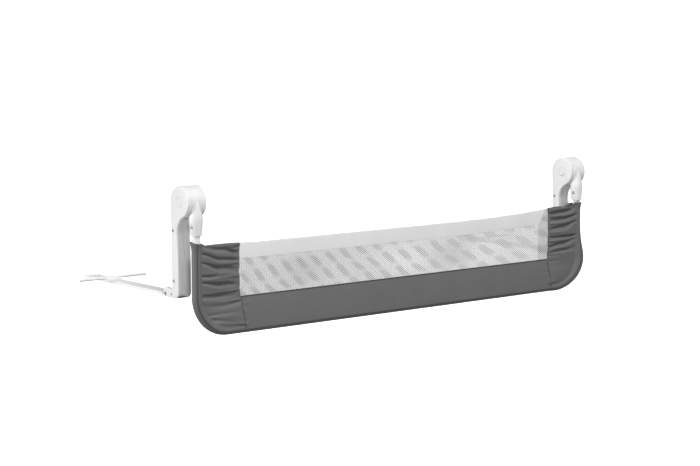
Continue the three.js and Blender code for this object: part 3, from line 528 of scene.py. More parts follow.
# Sizes and tones of grain, weave, stitches and knit
PLASTIC_GRAIN = 0.7 * MM
PLASTIC_FLOW = 45 * MM
PLASTIC_RUBBING = 9 * MM
STEEL_SPOTS = 3 * MM
BARE_STREAKS = 0.6 * MM
SPRING_STREAKS = 0.3 * MM
SCREW_STREAKS = 0.4 * MM
FINE_RELIEF = 0.05 * MM
RUBBER_GRAIN = 0.9 * MM
RUBBER_RELIEF = 0.1 * MM
THREAD = 0.62 * MM
SLUB = 5 * MM
CLOTH_CLOUD = 60 * MM
CLOTH_RELIEF = 0.16 * MM
CLOTH_DARK = 0.123
CLOTH_LIGHT = 0.172
STITCH_AWAY = 3 * MM
STITCH_PITCH = 3.2 * MM
STITCH_OUTER = 0.8 * MM
STITCH_CORE = 0.3 * MM
# Line of painted shade just under the band's top edge: its drop, half width and core
EDGE_SHADE_DOWN = 1.5 * MM
EDGE_SHADE_HALF = 3 * MM
EDGE_SHADE_CORE = 1.5 * MM
BLEND_OVER = 1 * MM
# Stitched groove beside the tube: its bump is real, and its darkening of the colour is painted shade
GROOVE_OUT = 4.6 * MM
GROOVE_HALF = 3 * MM
GROOVE_CORE = 0.5 * MM
GROOVE_FRONT = 2 * MM
KNIT = 5.7 * MM
KNIT_ACROSS = 0.5
KNIT_UP = 0.87
KNIT_BEND = 3 * MM
KNIT_BEND_PITCH = 150 * MM
KNIT_RELIEF = 0.3 * MM
DRIFT_PITCH = 110 * MM
STREAK_PITCH = 60 * MM
STREAK_DRIFT = 36 * MM
ROW_PITCH = 46 * MM
ROW_DRIFT = 40 * MM
MESH_REACH = 550 * MM
SINGLE_LAYER_OVER = 2 * MM
HEM_CLOUD = 90 * MM
HEM_RELIEF = 0.25 * MM
HEM_STITCH_UP = 2.5 * MM
HEM_STITCH_PITCH = 3 * MM
HEM_STITCH_OUTER = 0.6 * MM
HEM_STITCH_CORE = 0.2 * MM
# Painted light: a faint glow on the white mesh and hem stands in for light shining through them from
# behind
PAINTED_BACKLIGHT_GLOW = 0.02


def moulded(name, low, high, roughness):
    """Moulded plastic: a fine spark-eroded grain, flow marks, and a little rubbing."""
    finish = Finish(name, Coat_Roughness=0.3)
    grain = finish.noise(PLASTIC_GRAIN, 3)
    flow = finish.noise(PLASTIC_FLOW, 3, (1, 1, 0.4))
    rubbed = finish.noise(PLASTIC_RUBBING, 5).between(0.6, 0.75)
    finish.set(
        Base_Color=finish.blend(flow * 0.8 + grain * 0.2, low, high),
        Roughness=roughness + 0.1 * flow - 0.08 * rubbed,
    )
    finish.relief(grain, FINE_RELIEF, 0.35)
    return finish


def plated(name, base, streak_pitch):
    """Zinc-plated or drawn steel with fine streaks and dull spots."""
    finish = Finish(name, Metallic=1.0)
    streaks = finish.noise(streak_pitch, 4, (0.15, 1, 1))
    spots = finish.noise(STEEL_SPOTS, 5)
    finish.set(
        Base_Color=finish.blend(streaks, base * 0.82, base * 1.12),
        Roughness=0.24 + 0.3 * spots,
    )
    finish.relief(streaks, FINE_RELIEF, 0.4)
    return finish


def woven(name):
    """Grey polyester: a plain weave, slubs and a soft sheen, two rows of stitches beside each
    seam, the furrow stitched along the tube with painted shade darkening it, and a line of
    painted shade along the band's top."""
    finish = Finish(name, Sheen_Weight=0.04, Sheen_Roughness=0.4, Specular_Ior_Level=0.4)
    x, y, z = finish.axes()
    warp, weft = ((along * (FULL_TURN / THREAD)).sine() for along in (x, z))
    weave = warp * weft * 0.5 + 0.5
    slubs = finish.noise(SLUB, 3, (1, 1, 6)) * 0.5 + finish.noise(SLUB, 3, (6, 1, 1)) * 0.5
    cloud = finish.noise(CLOTH_CLOUD, 3)
    lean = (BAND_TOP - z).or_nought() * SEAM_LEAN
    dash = (z * (FULL_TURN / STITCH_PITCH)).sine().between(-0.3, 0.1)
    stitches = 0.0
    for seam in (LEFT_SEAM, RIGHT_SEAM):
        for away in (-STITCH_AWAY, STITCH_AWAY):
            row = (x - lean - (seam + away)).size().between(STITCH_OUTER, STITCH_CORE)
            stitches = stitches + row * dash
    right_of_left = (x - LEFT_SEAM).between(0.0, BLEND_OVER)
    on_band = right_of_left * (RIGHT_SEAM - x).between(0.0, BLEND_OVER)
    # A line of painted shade just under the band's top edge
    edge = (BAND_TOP - EDGE_SHADE_DOWN - z).size().between(EDGE_SHADE_HALF, EDGE_SHADE_CORE) * on_band
    beyond = (x.size() - (TUBE_SPACING / 2 - BEND_RADIUS)).or_nought()
    below = (BEND_TOP - z).or_nought()
    outwards = (beyond * beyond + below * below).root() - BEND_RADIUS
    front = (TUBE_Y - y).between(0.0, GROOVE_FRONT)
    # The groove's bump is real, and its darkening of the colour is painted shade
    groove_and_shade = (outwards - GROOVE_OUT).size().between(GROOVE_HALF, GROOVE_CORE) * front
    cloth = finish.blend(cloud * 0.5 + slubs * 0.35 + weave * 0.15, CLOTH_DARK, CLOTH_LIGHT)
    # Stitches darken the colour as thread. The groove and the band's top line darken it as painted
    # shade
    finish.set(
        Base_Color=finish.blend(stitches * 0.8 + groove_and_shade * 0.6 + edge * 0.9, cloth, 0.035),
        Roughness=0.5 + 0.14 * slubs,
    )
    finish.relief(weave * 0.7 + slubs * 0.5 - stitches - groove_and_shade, CLOTH_RELIEF, 0.6)
    return finish


def knit_waves(x, z, bend=0.0):
    """Waves along the knit's two slanting directions. Where both are high there is a hole."""
    turns = FULL_TURN / KNIT
    rising = (x * KNIT_ACROSS - z * KNIT_UP + bend) * turns
    falling = (x * KNIT_ACROSS + z * KNIT_UP) * turns
    return rising.sine(), falling.sine()


def knitted(name, openness):
    """White warp-knitted mesh. Where the two layers' holes miss each other, less shows through,
    which gives the soft slanting streaks. The holes, more along the streaks, are also painted
    darker than the yarn: painted shade between the two layers."""
    finish = Finish(name, Roughness=0.62, Sheen_Weight=0.15)
    x, y, z = finish.axes()
    bend = (finish.noise(KNIT_BEND_PITCH, 2) - 0.5) * KNIT_BEND
    rising, falling = knit_waves(x, z, bend)
    holes = (rising + falling * 0.5).between(-0.3, 0.8)
    drift = finish.noise(DRIFT_PITCH, 3, (1, 1, 1.6)) - 0.5
    crowding = (x * -0.25 + 0.85) * (FULL_TURN / STREAK_PITCH)
    line = (x + z * (x * 0.5 + 1.3) + drift * STREAK_DRIFT) * crowding
    row = (z - x * 0.1 + drift * ROW_DRIFT) * (FULL_TURN / ROW_PITCH)
    streak = line.sine().between(-0.2, 1.0) * row.sine().between(-1.3, 0.5)
    rightwards = x.between(-MESH_REACH, MESH_REACH)
    single = (x - HEM_END_LOW).between(0.0, SINGLE_LAYER_OVER)
    # Painted shade: how much darker than the yarn the holes are painted, more along the streaks and
    # past the hem's end
    depth = streak * (0.36 - rightwards * 0.12) + single * 0.25 + 0.22
    yarn = finish.blend(rightwards * (1.0 - single), 0.58, 0.76)
    finish.set(
        Base_Color=finish.blend(holes * depth, yarn, 0.1),
        Alpha=1.0 - holes * openness * (1.0 - streak * 0.45),
        # A faint painted glow stands in for light shining through the mesh
        Emission_Color=grey(1.0),
        Emission_Strength=PAINTED_BACKLIGHT_GLOW,
    )
    finish.relief(holes, -KNIT_RELIEF, 0.6)
    return finish


def doubled(name):
    """The hem's doubled mesh, close and bright, with the knit showing faintly. A faint
    painted glow stands in for light shining through it.
    """
    finish = Finish(name, Roughness=0.6, Sheen_Weight=0.15)
    x, y, z = finish.axes()
    rising, falling = knit_waves(x, z)
    knit = rising * 0.35 + falling * 0.15 + 0.5
    cloud = finish.noise(HEM_CLOUD, 2)
    above_seam = (z - (COVER_TOP - HEM_WIDTH + HEM_STITCH_UP)).size()
    stitched = above_seam.between(HEM_STITCH_OUTER, HEM_STITCH_CORE)
    dash = (x * (FULL_TURN / HEM_STITCH_PITCH)).sine().between(-0.4, 0.0)
    finish.set(
        Base_Color=finish.blend(knit * 0.6 + cloud * 0.4 - stitched * dash * 0.3, 0.68, 0.92),
        # A faint painted glow stands in for light shining through the hem
        Emission_Color=grey(1.0),
        Emission_Strength=PAINTED_BACKLIGHT_GLOW,
    )
    finish.relief(knit, HEM_RELIEF, 0.5)
    return finish


def rubber(name):
    finish = Finish(name)
    grain = finish.noise(RUBBER_GRAIN, 4)
    finish.set(Base_Color=finish.blend(grain, 0.014, 0.03), Roughness=0.6 + 0.2 * grain)
    finish.relief(grain, RUBBER_RELIEF, 0.6)
    return finish


finishes = {
    "white_casing": moulded("white_casing", 0.77, 0.83, 0.36),
    "white_button": moulded("white_button", 0.77, 0.83, 0.3),
    "white_trim": moulded("white_trim", 0.84, 0.9, 0.4),
    "white_steel": moulded("white_steel", 0.86, 0.92, 0.42),
    "bare_steel": plated("bare_steel", 0.55, BARE_STREAKS),
    "spring_steel": plated("spring_steel", 0.5, SPRING_STREAKS),
    "screw_steel": plated("screw_steel", 0.28, SCREW_STREAKS),
    "black_rubber": rubber("black_rubber"),
    "grey_fabric": woven("grey_fabric"),
    "white_mesh": knitted("white_mesh", 0.75),
    "white_hem": doubled("white_hem"),
}
slot_of = {part["node"]: part["material_slot"] for part in frame["record"]["subparts"]}


def dress(piece, slot):
    """Gives a piece its finish, all over."""
    piece.data.materials.clear()
    piece.data.materials.append(finishes[slot].data)
    for face in piece.data.polygons:
        face.material_index = 0


for name, node in frame["nodes"].items():
    dress(node, slot_of[name])


# Upright casings

def upright_face(name, x, recess=0.0):
    """The upright's side outline: drum, hollow front curve, post and rearward foot."""
    front = NECK_FRONT + recess
    low_front = POST_FRONT + recess
    stub_top = SOLE_Z + STUB_HEIGHT
    stub_middle = SOLE_Z + STUB_HEIGHT / 2
    sweep = (front**2 + NECK_FRONT_Z**2 - DRUM_RADIUS**2) / (2 * (DRUM_RADIUS + front))
    sweep_y = front - sweep
    touch = math.degrees(math.atan2(-NECK_FRONT_Z, -sweep_y))
    to_back = math.atan2(POST_BACK_TOP, POST_BACK)
    lean = to_back + math.acos(DRUM_RADIUS / math.hypot(POST_BACK, POST_BACK_TOP))
    drum_start = (DRUM_RADIUS * math.cos(lean), DRUM_RADIUS * math.sin(lean))
    return draw(
        name,
        x,
        (low_front, SOLE_Z + FOOT_CORNER),
        [
            ((low_front + FOOT_CORNER, SOLE_Z + FOOT_CORNER), 90, 8),
            (STUB_REACH, SOLE_Z),
            ((STUB_REACH, stub_middle), 180, 20),
            (POST_BACK + STUB_CORNER, stub_top),
            ((POST_BACK + STUB_CORNER, stub_top + STUB_CORNER), -90, 4),
            (POST_BACK, POST_BACK_TOP),
            drum_start,
            ((0, 0), 180 + touch - math.degrees(lean), 64),
            ((sweep_y, NECK_FRONT_Z), -touch, 18),
            (low_front, POST_FRONT_Z),
        ],
    )


def upright_solid(name, x, thickness, recess=0.0):
    return thicken(upright_face(name, x, recess), thickness)


def hub_room(piece, x0, x1):
    """Cuts the hollow in which the hub turns, and the way out for its neck."""
    cut(piece, rod("hollow", CRADLE_RADIUS, x0, x1, 0, 0, 96))
    cut(piece, rod("hollow", HUB_RADIUS + HUB_GAP, x0, x1, *HUB_CENTRE, 96))
    cut(piece, block("way_in_front", (x0, -WIDE, NECK_FRONT_Z), (x1, HORN_Y, WIDE)))
    cut(piece, block("way_over", (x0, -WIDE, HORN_Z), (x1, WIDE, WIDE)))


def pad_room():
    """Room for the rubber sole in the underside of the foot."""
    low = (LIP_X + JOIN, -DRUM_RADIUS, SOLE_Z - OVERRUN)
    return block("pad_room", low, (PAD_INNER_X, PAD_BACK, SOLE_Z + RECESS))


def arm_slot(x0, y0, x1):
    """Room for the folding arm behind the post."""
    top = SOLE_Z + STUB_HEIGHT + 2 * OVERRUN
    return block("arm_slot", (x0, y0, SOLE_Z - OVERRUN), (x1, 2 * STUB_REACH, top))


def on_face(x, margin=FACE_MARGIN):
    return lambda middle, run: abs(middle.x - HINGE.x - x) < margin


def behind_rim():
    """A leaning column on the hub's side of the rim, whose edge follows RIM_LINE."""
    height, edge = (value * MM for value in RIM_LINE[0])
    column = block("column", (edge, -WIDE, SOLE_Z - OVERRUN), (edge + WIDE, WIDE, height))
    edit(column, selected=False)
    bpy.ops.object.mode_set(mode="OBJECT")
    for face in column.data.polygons:
        face.select = face.normal.z > 0.5
    bpy.ops.object.mode_set(mode="EDIT")
    bpy.ops.mesh.select_mode(type="FACE")
    for last, point in zip(RIM_LINE, RIM_LINE[1:]):
        extrude(Vector((point[1] - last[1], 0, point[0] - last[0])) * MM)
    bpy.ops.mesh.select_mode(type="VERT")
    return done(column)


outer_casing = upright_solid("left_upright_casing", FACE_X, WEB_X - FACE_X)
bevel_where(outer_casing, on_face(FACE_X), FACE_ROUNDING, 6)
cut(outer_casing, behind_rim())
hub_room(outer_casing, HUB_X, WEB_X + OVERRUN)
for place, radius, depth in (
    (UPPER_SCREW, SCREW_RADIUS, WELL_DEPTH),
    (LOWER_SCREW, SCREW_RADIUS, WELL_DEPTH),
    (FOOT_SCREW, SMALL_SCREW_RADIUS, WELL_DEPTH),
    (PIN, PIN_HEAD_RADIUS, WELL_DEPTH),
    ((0, 0), BUTTON_RADIUS, BUTTON_WELL),
):
    cut(outer_casing, rod("well", radius + WELL_GAP, FACE_X - OVERRUN, FACE_X + depth, *place))
outer_body = upright_solid("outer_body", LIP_X - JOIN, HUB_X - LIP_X, RECESS)
outer_skirt = upright_solid("outer_skirt", HUB_X - JOIN, PARTING_X - HUB_X + JOIN, RECESS)
hub_room(outer_skirt, HUB_X - OVERRUN, PARTING_X + OVERRUN)
cut(outer_skirt, arm_slot(HUB_X, POST_BACK, PARTING_X + OVERRUN))
bevel_where(outer_skirt, on_face(PARTING_X), PARTING_ROUNDING, 2)
well_end = FACE_X + BUTTON_WELL
cut(outer_body, rod("button_well", BUTTON_RADIUS + WELL_GAP, LIP_X - OVERRUN, well_end, 0, 0))
for solid in (outer_body, outer_skirt):
    cut(solid, pad_room())
join(outer_casing, outer_body, outer_skirt)
smooth(outer_casing)

inner_start = PARTING_X + JOIN
inner_casing = upright_solid("left_inner_shell", POST_INNER_X, inner_start - POST_INNER_X)
bevel_where(inner_casing, on_face(POST_INNER_X), INNER_ROUNDING, 7)
bevel_where(inner_casing, on_face(inner_start), PARTING_ROUNDING, 2)
hub_room(inner_casing, inner_start - OVERRUN, POST_INNER_X + OVERRUN)
cut(inner_casing, pad_room())
cut(inner_casing, arm_slot(inner_start - OVERRUN, POST_BACK + JOIN, ARM_SLOT_X))
smooth(inner_casing)


# Turning hub with its neck

def turn_round_neck(piece):
    """Turns a piece made along X to the direction of the neck's screw."""
    line = Matrix.Translation(HINGE + Vector((*NECK_LINE, 0)))
    turn = Matrix.Rotation(math.radians(NECK_SCREW_TURN), 4, "Z")
    piece.data.transform(line @ turn @ line.inverted())


hub = turned(
    "left_hub",
    [
        (HUB_X, 0),
        *reversed(rounded(HUB_X + HUB_EDGE, HUB_RADIUS, HUB_X, HUB_RADIUS - HUB_EDGE)),
        *rounded(DRUM_INNER_X - HUB_INNER_EDGE, HUB_RADIUS, DRUM_INNER_X, HUB_RADIUS - HUB_INNER_EDGE),
        (DRUM_INNER_X, 0),
    ],
    HUB_CENTRE,
    96,
)
cap_start = DRUM_INNER_X - CAP_ROOM
cut(hub, rod("cap_room", CAP_RADIUS + CAP_GAP, cap_start, DRUM_INNER_X + OVERRUN, 0, 0, 96))
height, half_width, _, middle = (value * MM for value in NECK_RINGS[0])
neck = disc("neck", half_width, HINGE + Vector((0, middle, height)), 48)
for last, ring in zip(NECK_RINGS, NECK_RINGS[1:]):
    extrude(Vector((0, ring[3] - last[3], ring[0] - last[0])) * MM)
    scale = (ring[1] / last[1], ring[2] / last[2], 1)
    centre = HINGE + Vector((0, ring[3], ring[0])) * MM
    bpy.ops.transform.resize(value=scale, center_override=centre)
cut(hub, clean(done(neck)), "UNION")
screw_well = rod("screw_well", NECK_WELL, 2 * NECK_SCREW_X, NECK_SCREW_X + WELL_DEPTH, *NECK_SCREW)
turn_round_neck(screw_well)
cut(hub, screw_well)
smooth(hub, 30)

hub_cap = smooth(turned("left_hub_end", in_mm(DRUM_INNER_X, CAP_PROFILE), (0, 0), 96))
button = smooth(turned("left_button_face", in_mm(FACE_X - BUTTON_PROUD, BUTTON_PROFILE), (0, 0), 64))


# Screws, arm pin and rubber sole

def screw_head(name, radius, face_x, place, length):
    """A pan head with a cross recess, and its shank."""
    top = face_x + SCREW_SINK
    seat = top + SCREW_HEAD
    profile = [(top + depth * MM, radius * share) for depth, share in SCREW_DOME]
    profile.append((seat + length - radius * SCREW_POINT, radius * SCREW_SHANK))
    profile.append((seat + length, 0))
    made = turned(name, profile, place, 32)
    for wide, tall in ((CROSS_LONG, CROSS_SHORT), (CROSS_SHORT, CROSS_LONG)):
        low = (top - OVERRUN, place[0] - radius * wide, place[1] - radius * tall)
        high = (top + CROSS_DEPTH, place[0] + radius * wide, place[1] + radius * tall)
        cut(made, block("recess", low, high))
    return smooth(made)


upper_screw, lower_screw, foot_screw, neck_screw = (
    screw_head(f"left_screw_{where}", radius, face_x, place, length)
    for where, radius, face_x, place, length in (
        ("upper", SCREW_RADIUS, FACE_X, UPPER_SCREW, CASING_SCREW_LENGTH),
        ("lower", SCREW_RADIUS, FACE_X, LOWER_SCREW, CASING_SCREW_LENGTH),
        ("foot", SMALL_SCREW_RADIUS, FACE_X, FOOT_SCREW, FOOT_SCREW_LENGTH),
        ("neck", SCREW_RADIUS, NECK_SCREW_X + NECK_SCREW_IN, NECK_SCREW, NECK_SCREW_LENGTH),
    )
)
turn_round_neck(neck_screw)
arm_pin = smooth(turned("left_arm_hinge_pin", in_mm(FACE_X, PIN_PROFILE), PIN, 40))

foot_pad = upright_solid(
    "left_rubber_sole",
    LIP_X + 2 * JOIN,
    PAD_INNER_X - LIP_X - 3 * JOIN,
    PAD_RECESS,
)
sole_zone = block(
    "sole_zone",
    (FACE_X, -DRUM_RADIUS, SOLE_Z - OVERRUN),
    (POST_INNER_X, PAD_BACK - JOIN, SOLE_Z + RECESS - JOIN),
)
cut(foot_pad, sole_zone, "INTERSECT")
rounded_up_to = HINGE.z + SOLE_Z + PAD_ROUNDED_UP_TO
bevel_where(
    foot_pad,
    lambda middle, run: abs(run.y) > 0.9 and middle.z < rounded_up_to,
    PAD_ROUNDING,
    3,
)
smooth(foot_pad)

# Folding arm under the mattress, in the bracket's own places

ARM_BOTTOM = -264 * MM
ARM_TOP = ARM_BOTTOM + 7.5 * MM
ARM_TUBE_START = 96 * MM
ARM_TUBE_END = 488 * MM
ARM_TIP = 500 * MM
ARM_ROUNDING = 2.6 * MM
SHOULDER_START = 88 * MM
SHOULDER_LAP = 6 * MM
SHOULDER_PROUD = 0.4 * MM
SHOULDER_RISE = 0.5 * MM
SHOULDER_ROUNDING = 2.8 * MM
SHOULDER_EDGE = 0.6 * MM
TIP_LAP = 5 * MM
TIP_PROUD = 2 * MM
TIP_DROP = 0.4 * MM
TIP_RISE = 1 * MM
TIP_ROUNDING = 7.5 * MM
TIP_EDGE = 1.6 * MM
TONGUE_INNER_X = 5.7 * MM
TONGUE_EYE = 10.5 * MM
TONGUE_LAP = 2 * MM
TONGUE_LOW = 0.5 * MM
CROSSBAR_Y = 378 * MM
CROSSBAR_RADIUS = 4.3 * MM
CROSSBAR_HALF = 113 * MM
CROSSBAR_END = ((0, 0), (0, 2.9), (0.5, 3.8), (1.5, 4.3))
SADDLE_LOW = ARM_TOP + JOIN
SADDLE_FLOOR = 1.5 * MM
CROSSBAR_Z = SADDLE_LOW + SADDLE_FLOOR + CROSSBAR_RADIUS
SADDLE_TAIL = 28 * MM
SADDLE_THICK = 5 * MM
SADDLE_WALL = 2.5 * MM
SADDLE_LIP = 6 * MM
SADDLE_ROUND = 5 * MM
SADDLE_EDGE = 1.2 * MM
SADDLE_WELL = 2 * MM
STRAP_HALF = 6 * MM
STRAP_END = ((0, 0), (0, 4.7), (0.8, 5.5))
CROSSBAR_SCREW_Y = CROSSBAR_Y + 17 * MM
ARM_MIDDLE_X = (FACE_X + POST_INNER_X) / 2
SCREW_APART = 24 * MM


def lengthwise(axis):
    return lambda middle, run: abs(run[axis]) > 0.98


def crosswise(axis):
    return lambda middle, run: abs(run[axis]) < 0.5


def bar(name, low, high, axis, rounding, segments):
    """A bar with the edges along one axis rounded."""
    made = block(name, low, high)
    return bevel_where(made, lengthwise(axis), rounding, segments)


def round_bar(name, half, end):
    """A round bar across the arm's middle. Its end is given in mm, as the way in and the radius."""
    profile = [(ARM_MIDDLE_X - half + way * MM, radius * MM) for way, radius in end]
    profile += [(ARM_MIDDLE_X + half - way * MM, radius * MM) for way, radius in reversed(end)]
    return turned(name, profile, (CROSSBAR_Y, CROSSBAR_Z), 32)


arm_bar = bar(
    "left_flat_arm",
    (FACE_X, ARM_TUBE_START, ARM_BOTTOM),
    (POST_INNER_X, ARM_TUBE_END, ARM_TOP),
    1,
    ARM_ROUNDING,
    5,
)
smooth(arm_bar)
shoulder = bar(
    "left_arm_shoulder",
    (FACE_X - SHOULDER_PROUD, SHOULDER_START, ARM_BOTTOM),
    (POST_INNER_X + SHOULDER_PROUD, ARM_TUBE_START + SHOULDER_LAP, ARM_TOP + SHOULDER_RISE),
    1,
    SHOULDER_ROUNDING,
    5,
)
bevel_where(shoulder, crosswise(1), SHOULDER_EDGE, 2)
tongue = draw(
    "tongue",
    PARTING_X + JOIN,
    (PIN[0], PIN[1] + TONGUE_EYE),
    [
        (PIN, 180, 16),
        (SHOULDER_START + TONGUE_LAP, ARM_BOTTOM + TONGUE_LOW),
        (SHOULDER_START + TONGUE_LAP, ARM_TOP),
    ],
)
thicken(tongue, TONGUE_INNER_X - PARTING_X - 2 * JOIN)
join(shoulder, tongue)
smooth(shoulder)

arm_tip = bar(
    "left_arm_end_cap",
    (FACE_X - TIP_PROUD, ARM_TUBE_END - TIP_LAP, ARM_BOTTOM - TIP_DROP),
    (POST_INNER_X + TIP_PROUD, ARM_TIP, ARM_TOP + TIP_RISE),
    2,
    TIP_ROUNDING,
    8,
)
bevel_where(arm_tip, crosswise(2), TIP_EDGE, 3)
smooth(arm_tip)

crossbar = round_bar("left_cross_bar", CROSSBAR_HALF, CROSSBAR_END)
lip_low = ARM_TOP - SADDLE_LIP
tail_top = SADDLE_LOW + SADDLE_THICK
front_y = CROSSBAR_Y - CROSSBAR_RADIUS
tail_y = CROSSBAR_Y + SADDLE_TAIL
saddle = draw(
    "saddle",
    FACE_X - SADDLE_WALL,
    (front_y, lip_low + SADDLE_ROUND),
    [
        ((front_y + SADDLE_ROUND, lip_low + SADDLE_ROUND), 90, 8),
        (tail_y, lip_low),
        (tail_y, tail_top),
        (CROSSBAR_Y + 2 * CROSSBAR_RADIUS, tail_top),
        (CROSSBAR_Y + CROSSBAR_RADIUS, CROSSBAR_Z),
        (front_y, CROSSBAR_Z),
    ],
)
thicken(saddle, POST_INNER_X - FACE_X + 2 * SADDLE_WALL)
for x in (FACE_X - SADDLE_WALL, POST_INNER_X + SADDLE_WALL):
    bevel_where(saddle, on_face(x), SADDLE_EDGE, 3)
arm_room = block(
    "arm_room",
    (FACE_X - JOIN, 0, ARM_BOTTOM - OVERRUN),
    (POST_INNER_X + JOIN, ARM_TIP, SADDLE_LOW),
)
cut(saddle, arm_room)
for side in (-1, 1):
    well = rod("well", SCREW_RADIUS + WELL_GAP, -SADDLE_THICK, SADDLE_THICK, 0, 0)
    x = ARM_MIDDLE_X + side * SCREW_APART / 2
    well.data.transform(upright_at(x, CROSSBAR_SCREW_Y, tail_top + SADDLE_THICK - SADDLE_WELL))
    cut(saddle, well)
join(crossbar, saddle, round_bar("strap", STRAP_HALF, STRAP_END))
smooth(crossbar)

# Frame tube of the left corner, and its copy on the right

corner_tube = disc("left_frame_corner", TUBE_RADIUS, (HINGE.x, TUBE_Y, TUBE_TOP), 40)
extrude((0, 0, BEND_TOP - TUBE_TOP))
bend_centre = (HINGE.x + BEND_RADIUS, TUBE_Y, BEND_TOP)
bpy.ops.mesh.spin(steps=24, angle=math.pi / 2, center=bend_centre, axis=(0, 1, 0))
extrude((CORNER_END, 0, 0))
smooth(clean(done(corner_tube)))


def move_copy(piece, name, shift):
    made = piece.copy()
    made.data = piece.data.copy()
    made.name = made.data.name = name
    bpy.context.scene.collection.objects.link(made)
    made.data.transform(shift)
    return made


def stands_for(piece, part, flip=False):
    """A left piece takes its node's place, finish and body, and a copy of it the right node's."""
    for side in ("left", "right"):
        node = f"{side}_{part}"
        made = piece
        if side == "right":
            shift = Matrix.Translation((TUBE_SPACING, 0, 0))
            if flip:
                shift = Matrix.Diagonal((-1, 1, 1, 1))
            made = move_copy(piece, piece.name.replace("left", "right"), shift)
            if flip:
                made.data.flip_normals()
        dress(made, slot_of[node])
        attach(made, frame["nodes"][node]["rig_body"])
        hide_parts(node)


for piece, part in (
    (outer_casing, "outer_casing"),
    (inner_casing, "inner_casing"),
    (hub, "hinge_hub"),
    (hub_cap, "hub_cap"),
    (button, "release_button"),
    (upper_screw, "upper_screw"),
    (lower_screw, "lower_screw"),
    (foot_screw, "foot_screw"),
    (neck_screw, "neck_screw"),
    (arm_pin, "arm_pin"),
    (foot_pad, "foot_pad"),
    (shoulder, "arm_knuckle"),
    (arm_bar, "arm_bar"),
    (arm_tip, "arm_tip"),
    (crossbar, "crossbar"),
):
    stands_for(piece, part)
stands_for(corner_tube, "corner_tube", flip=True)


# Cloth helpers

def sheet(name, columns, rows, place):
    """A grid whose points go where place puts their shares across and down."""
    start()
    bpy.ops.mesh.primitive_grid_add(x_subdivisions=columns, y_subdivisions=rows, size=1)
    made = named(name)
    for point in made.data.vertices:
        point.co = place(point.co.x + 0.5, 0.5 - point.co.y)
    return made


def line_up(piece):
    """Turns the faces outwards and shades them smooth."""
    edit(piece)
    bpy.ops.mesh.normals_make_consistent(inside=False)
    bpy.ops.object.mode_set(mode="OBJECT")
    bpy.ops.object.shade_smooth()
    return piece


def mix(a, b, share):
    return a + (b - a) * share


def limit(value):
    return min(1.0, max(0.0, value))


def ease(value, low=0.0, high=1.0):
    share = limit((value - low) / (high - low))
    return share * share * (3 - 2 * share)


def bell(value, half):
    """1 at nought, and almost nothing from twice the half width on."""
    return math.exp(-((value / half) ** 2))


def wave(place, pitch, seed):
    """Smooth noise from -1 to 1 that changes over about one pitch."""
    return noise.noise(Vector(place) / pitch + Vector((seed, 3.7 * seed, 1.3)))


FRAMES = 24
CLOTH_REACH = 3 * MM


def gather(piece, held, flat_place):
    """Lets the cloth buckle from its seams. held gives how fast a point is held, and flat_place
    where the point lay before the seams drew the cloth together."""
    start_places = [point.co.copy() for point in piece.data.vertices]
    pins = piece.vertex_groups.new(name="held")
    for point in piece.data.vertices:
        pins.add([point.index], held(point.co), "REPLACE")
    piece.shape_key_add(name="sewn")
    flat = piece.shape_key_add(name="cut")
    for point, key in zip(piece.data.vertices, flat.data):
        key.co = flat_place(point.co)
    cloth = piece.modifiers.new("Cloth", "CLOTH")
    cloth.settings.vertex_group_mass = "held"
    cloth.settings.rest_shape_key = flat
    cloth.settings.mass = 0.05
    cloth.settings.tension_stiffness = 12
    cloth.settings.compression_stiffness = 12
    cloth.settings.shear_stiffness = 4
    cloth.settings.bending_stiffness = 0.15
    cloth.settings.effector_weights.gravity = 0.3
    cloth.settings.air_damping = 4
    cloth.collision_settings.use_collision = False
    cloth.point_cache.frame_start = 1
    cloth.point_cache.frame_end = FRAMES
    for frame_number in range(1, FRAMES + 1):
        bpy.context.scene.frame_set(frame_number)
    found = piece.evaluated_get(bpy.context.evaluated_depsgraph_get())
    places = [point.co.copy() for point in found.data.vertices]
    piece.modifiers.remove(cloth)
    piece.shape_key_clear()
    bpy.context.scene.frame_set(1)
    for point, first, last in zip(piece.data.vertices, start_places, places):
        move = last - first
        if move.length > CLOTH_REACH:
            move *= CLOTH_REACH / move.length
        point.co = first + move
    return piece


# Ruched end panels. A place on a panel is given by its distance from the tube's line towards the
# mesh, and by its depth below the panel's top edge.

PINCH_RADIUS = BEND_RADIUS - STITCH_IN
GATHER = 0.05
FOLD_DEPTH = 2.8
FOLD_WIDTH = 0.78
SHEET_COLUMNS = 44
SLEEVE_COLUMNS = 44
ROUND_COLUMNS = 2 * SHEET_COLUMNS + SLEEVE_COLUMNS
PANEL_ROWS = 118
CLOTH = 0.7 * MM
LEAST_HALF = 0.5 * MM
LEAST_HALF_AFTER = 0.4 * MM
SEAM_HALF = 1.7 * MM
SEAM_HOLD = 2.5 * MM
TOP_HOLD = 0.8 * MM
EDGE_HOLD = 1 * MM
BAND_HALF = 1.7 * MM
BAND_BULGE = 1.5 * MM
PUFF_HALF = 10 * MM
PUFF_HALF_LOW = 3 * MM
LOW_FROM = 100 * MM
CALM_FROM = 150 * MM
CALM_TO = 190 * MM
CRUMPLE_TO = 200 * MM
CHANNEL_HALF = 11 * MM
PINCHED_HALF = 2.4 * MM
CRUMPLE_PITCH = 11 * MM
BUCKLE_PITCH = 27 * MM
GATHER_PITCH = 4.5 * MM
SEAM_RIPPLE = 3.2 * MM
SEAM_RIPPLE_PITCH = 17 * MM
SEAM_BOW = 4 * MM
SEAM_STRAY = 1.6 * MM
SEAM_STRAY_PITCH = 11 * MM
SEAM_STRAY_FROM = 20 * MM
BOW_ENDS_OVER = 10 * MM
FLARE_LENGTH = 15 * MM
HEM_STITCH_HALF = 1.6 * MM
SWAY_PITCH = 30 * MM
SLACK_RUN = 180 * MM
SLACK_HALF = 65 * MM
CREASE_ANGLE = math.radians(112)
CREASE_HALF = 0.2
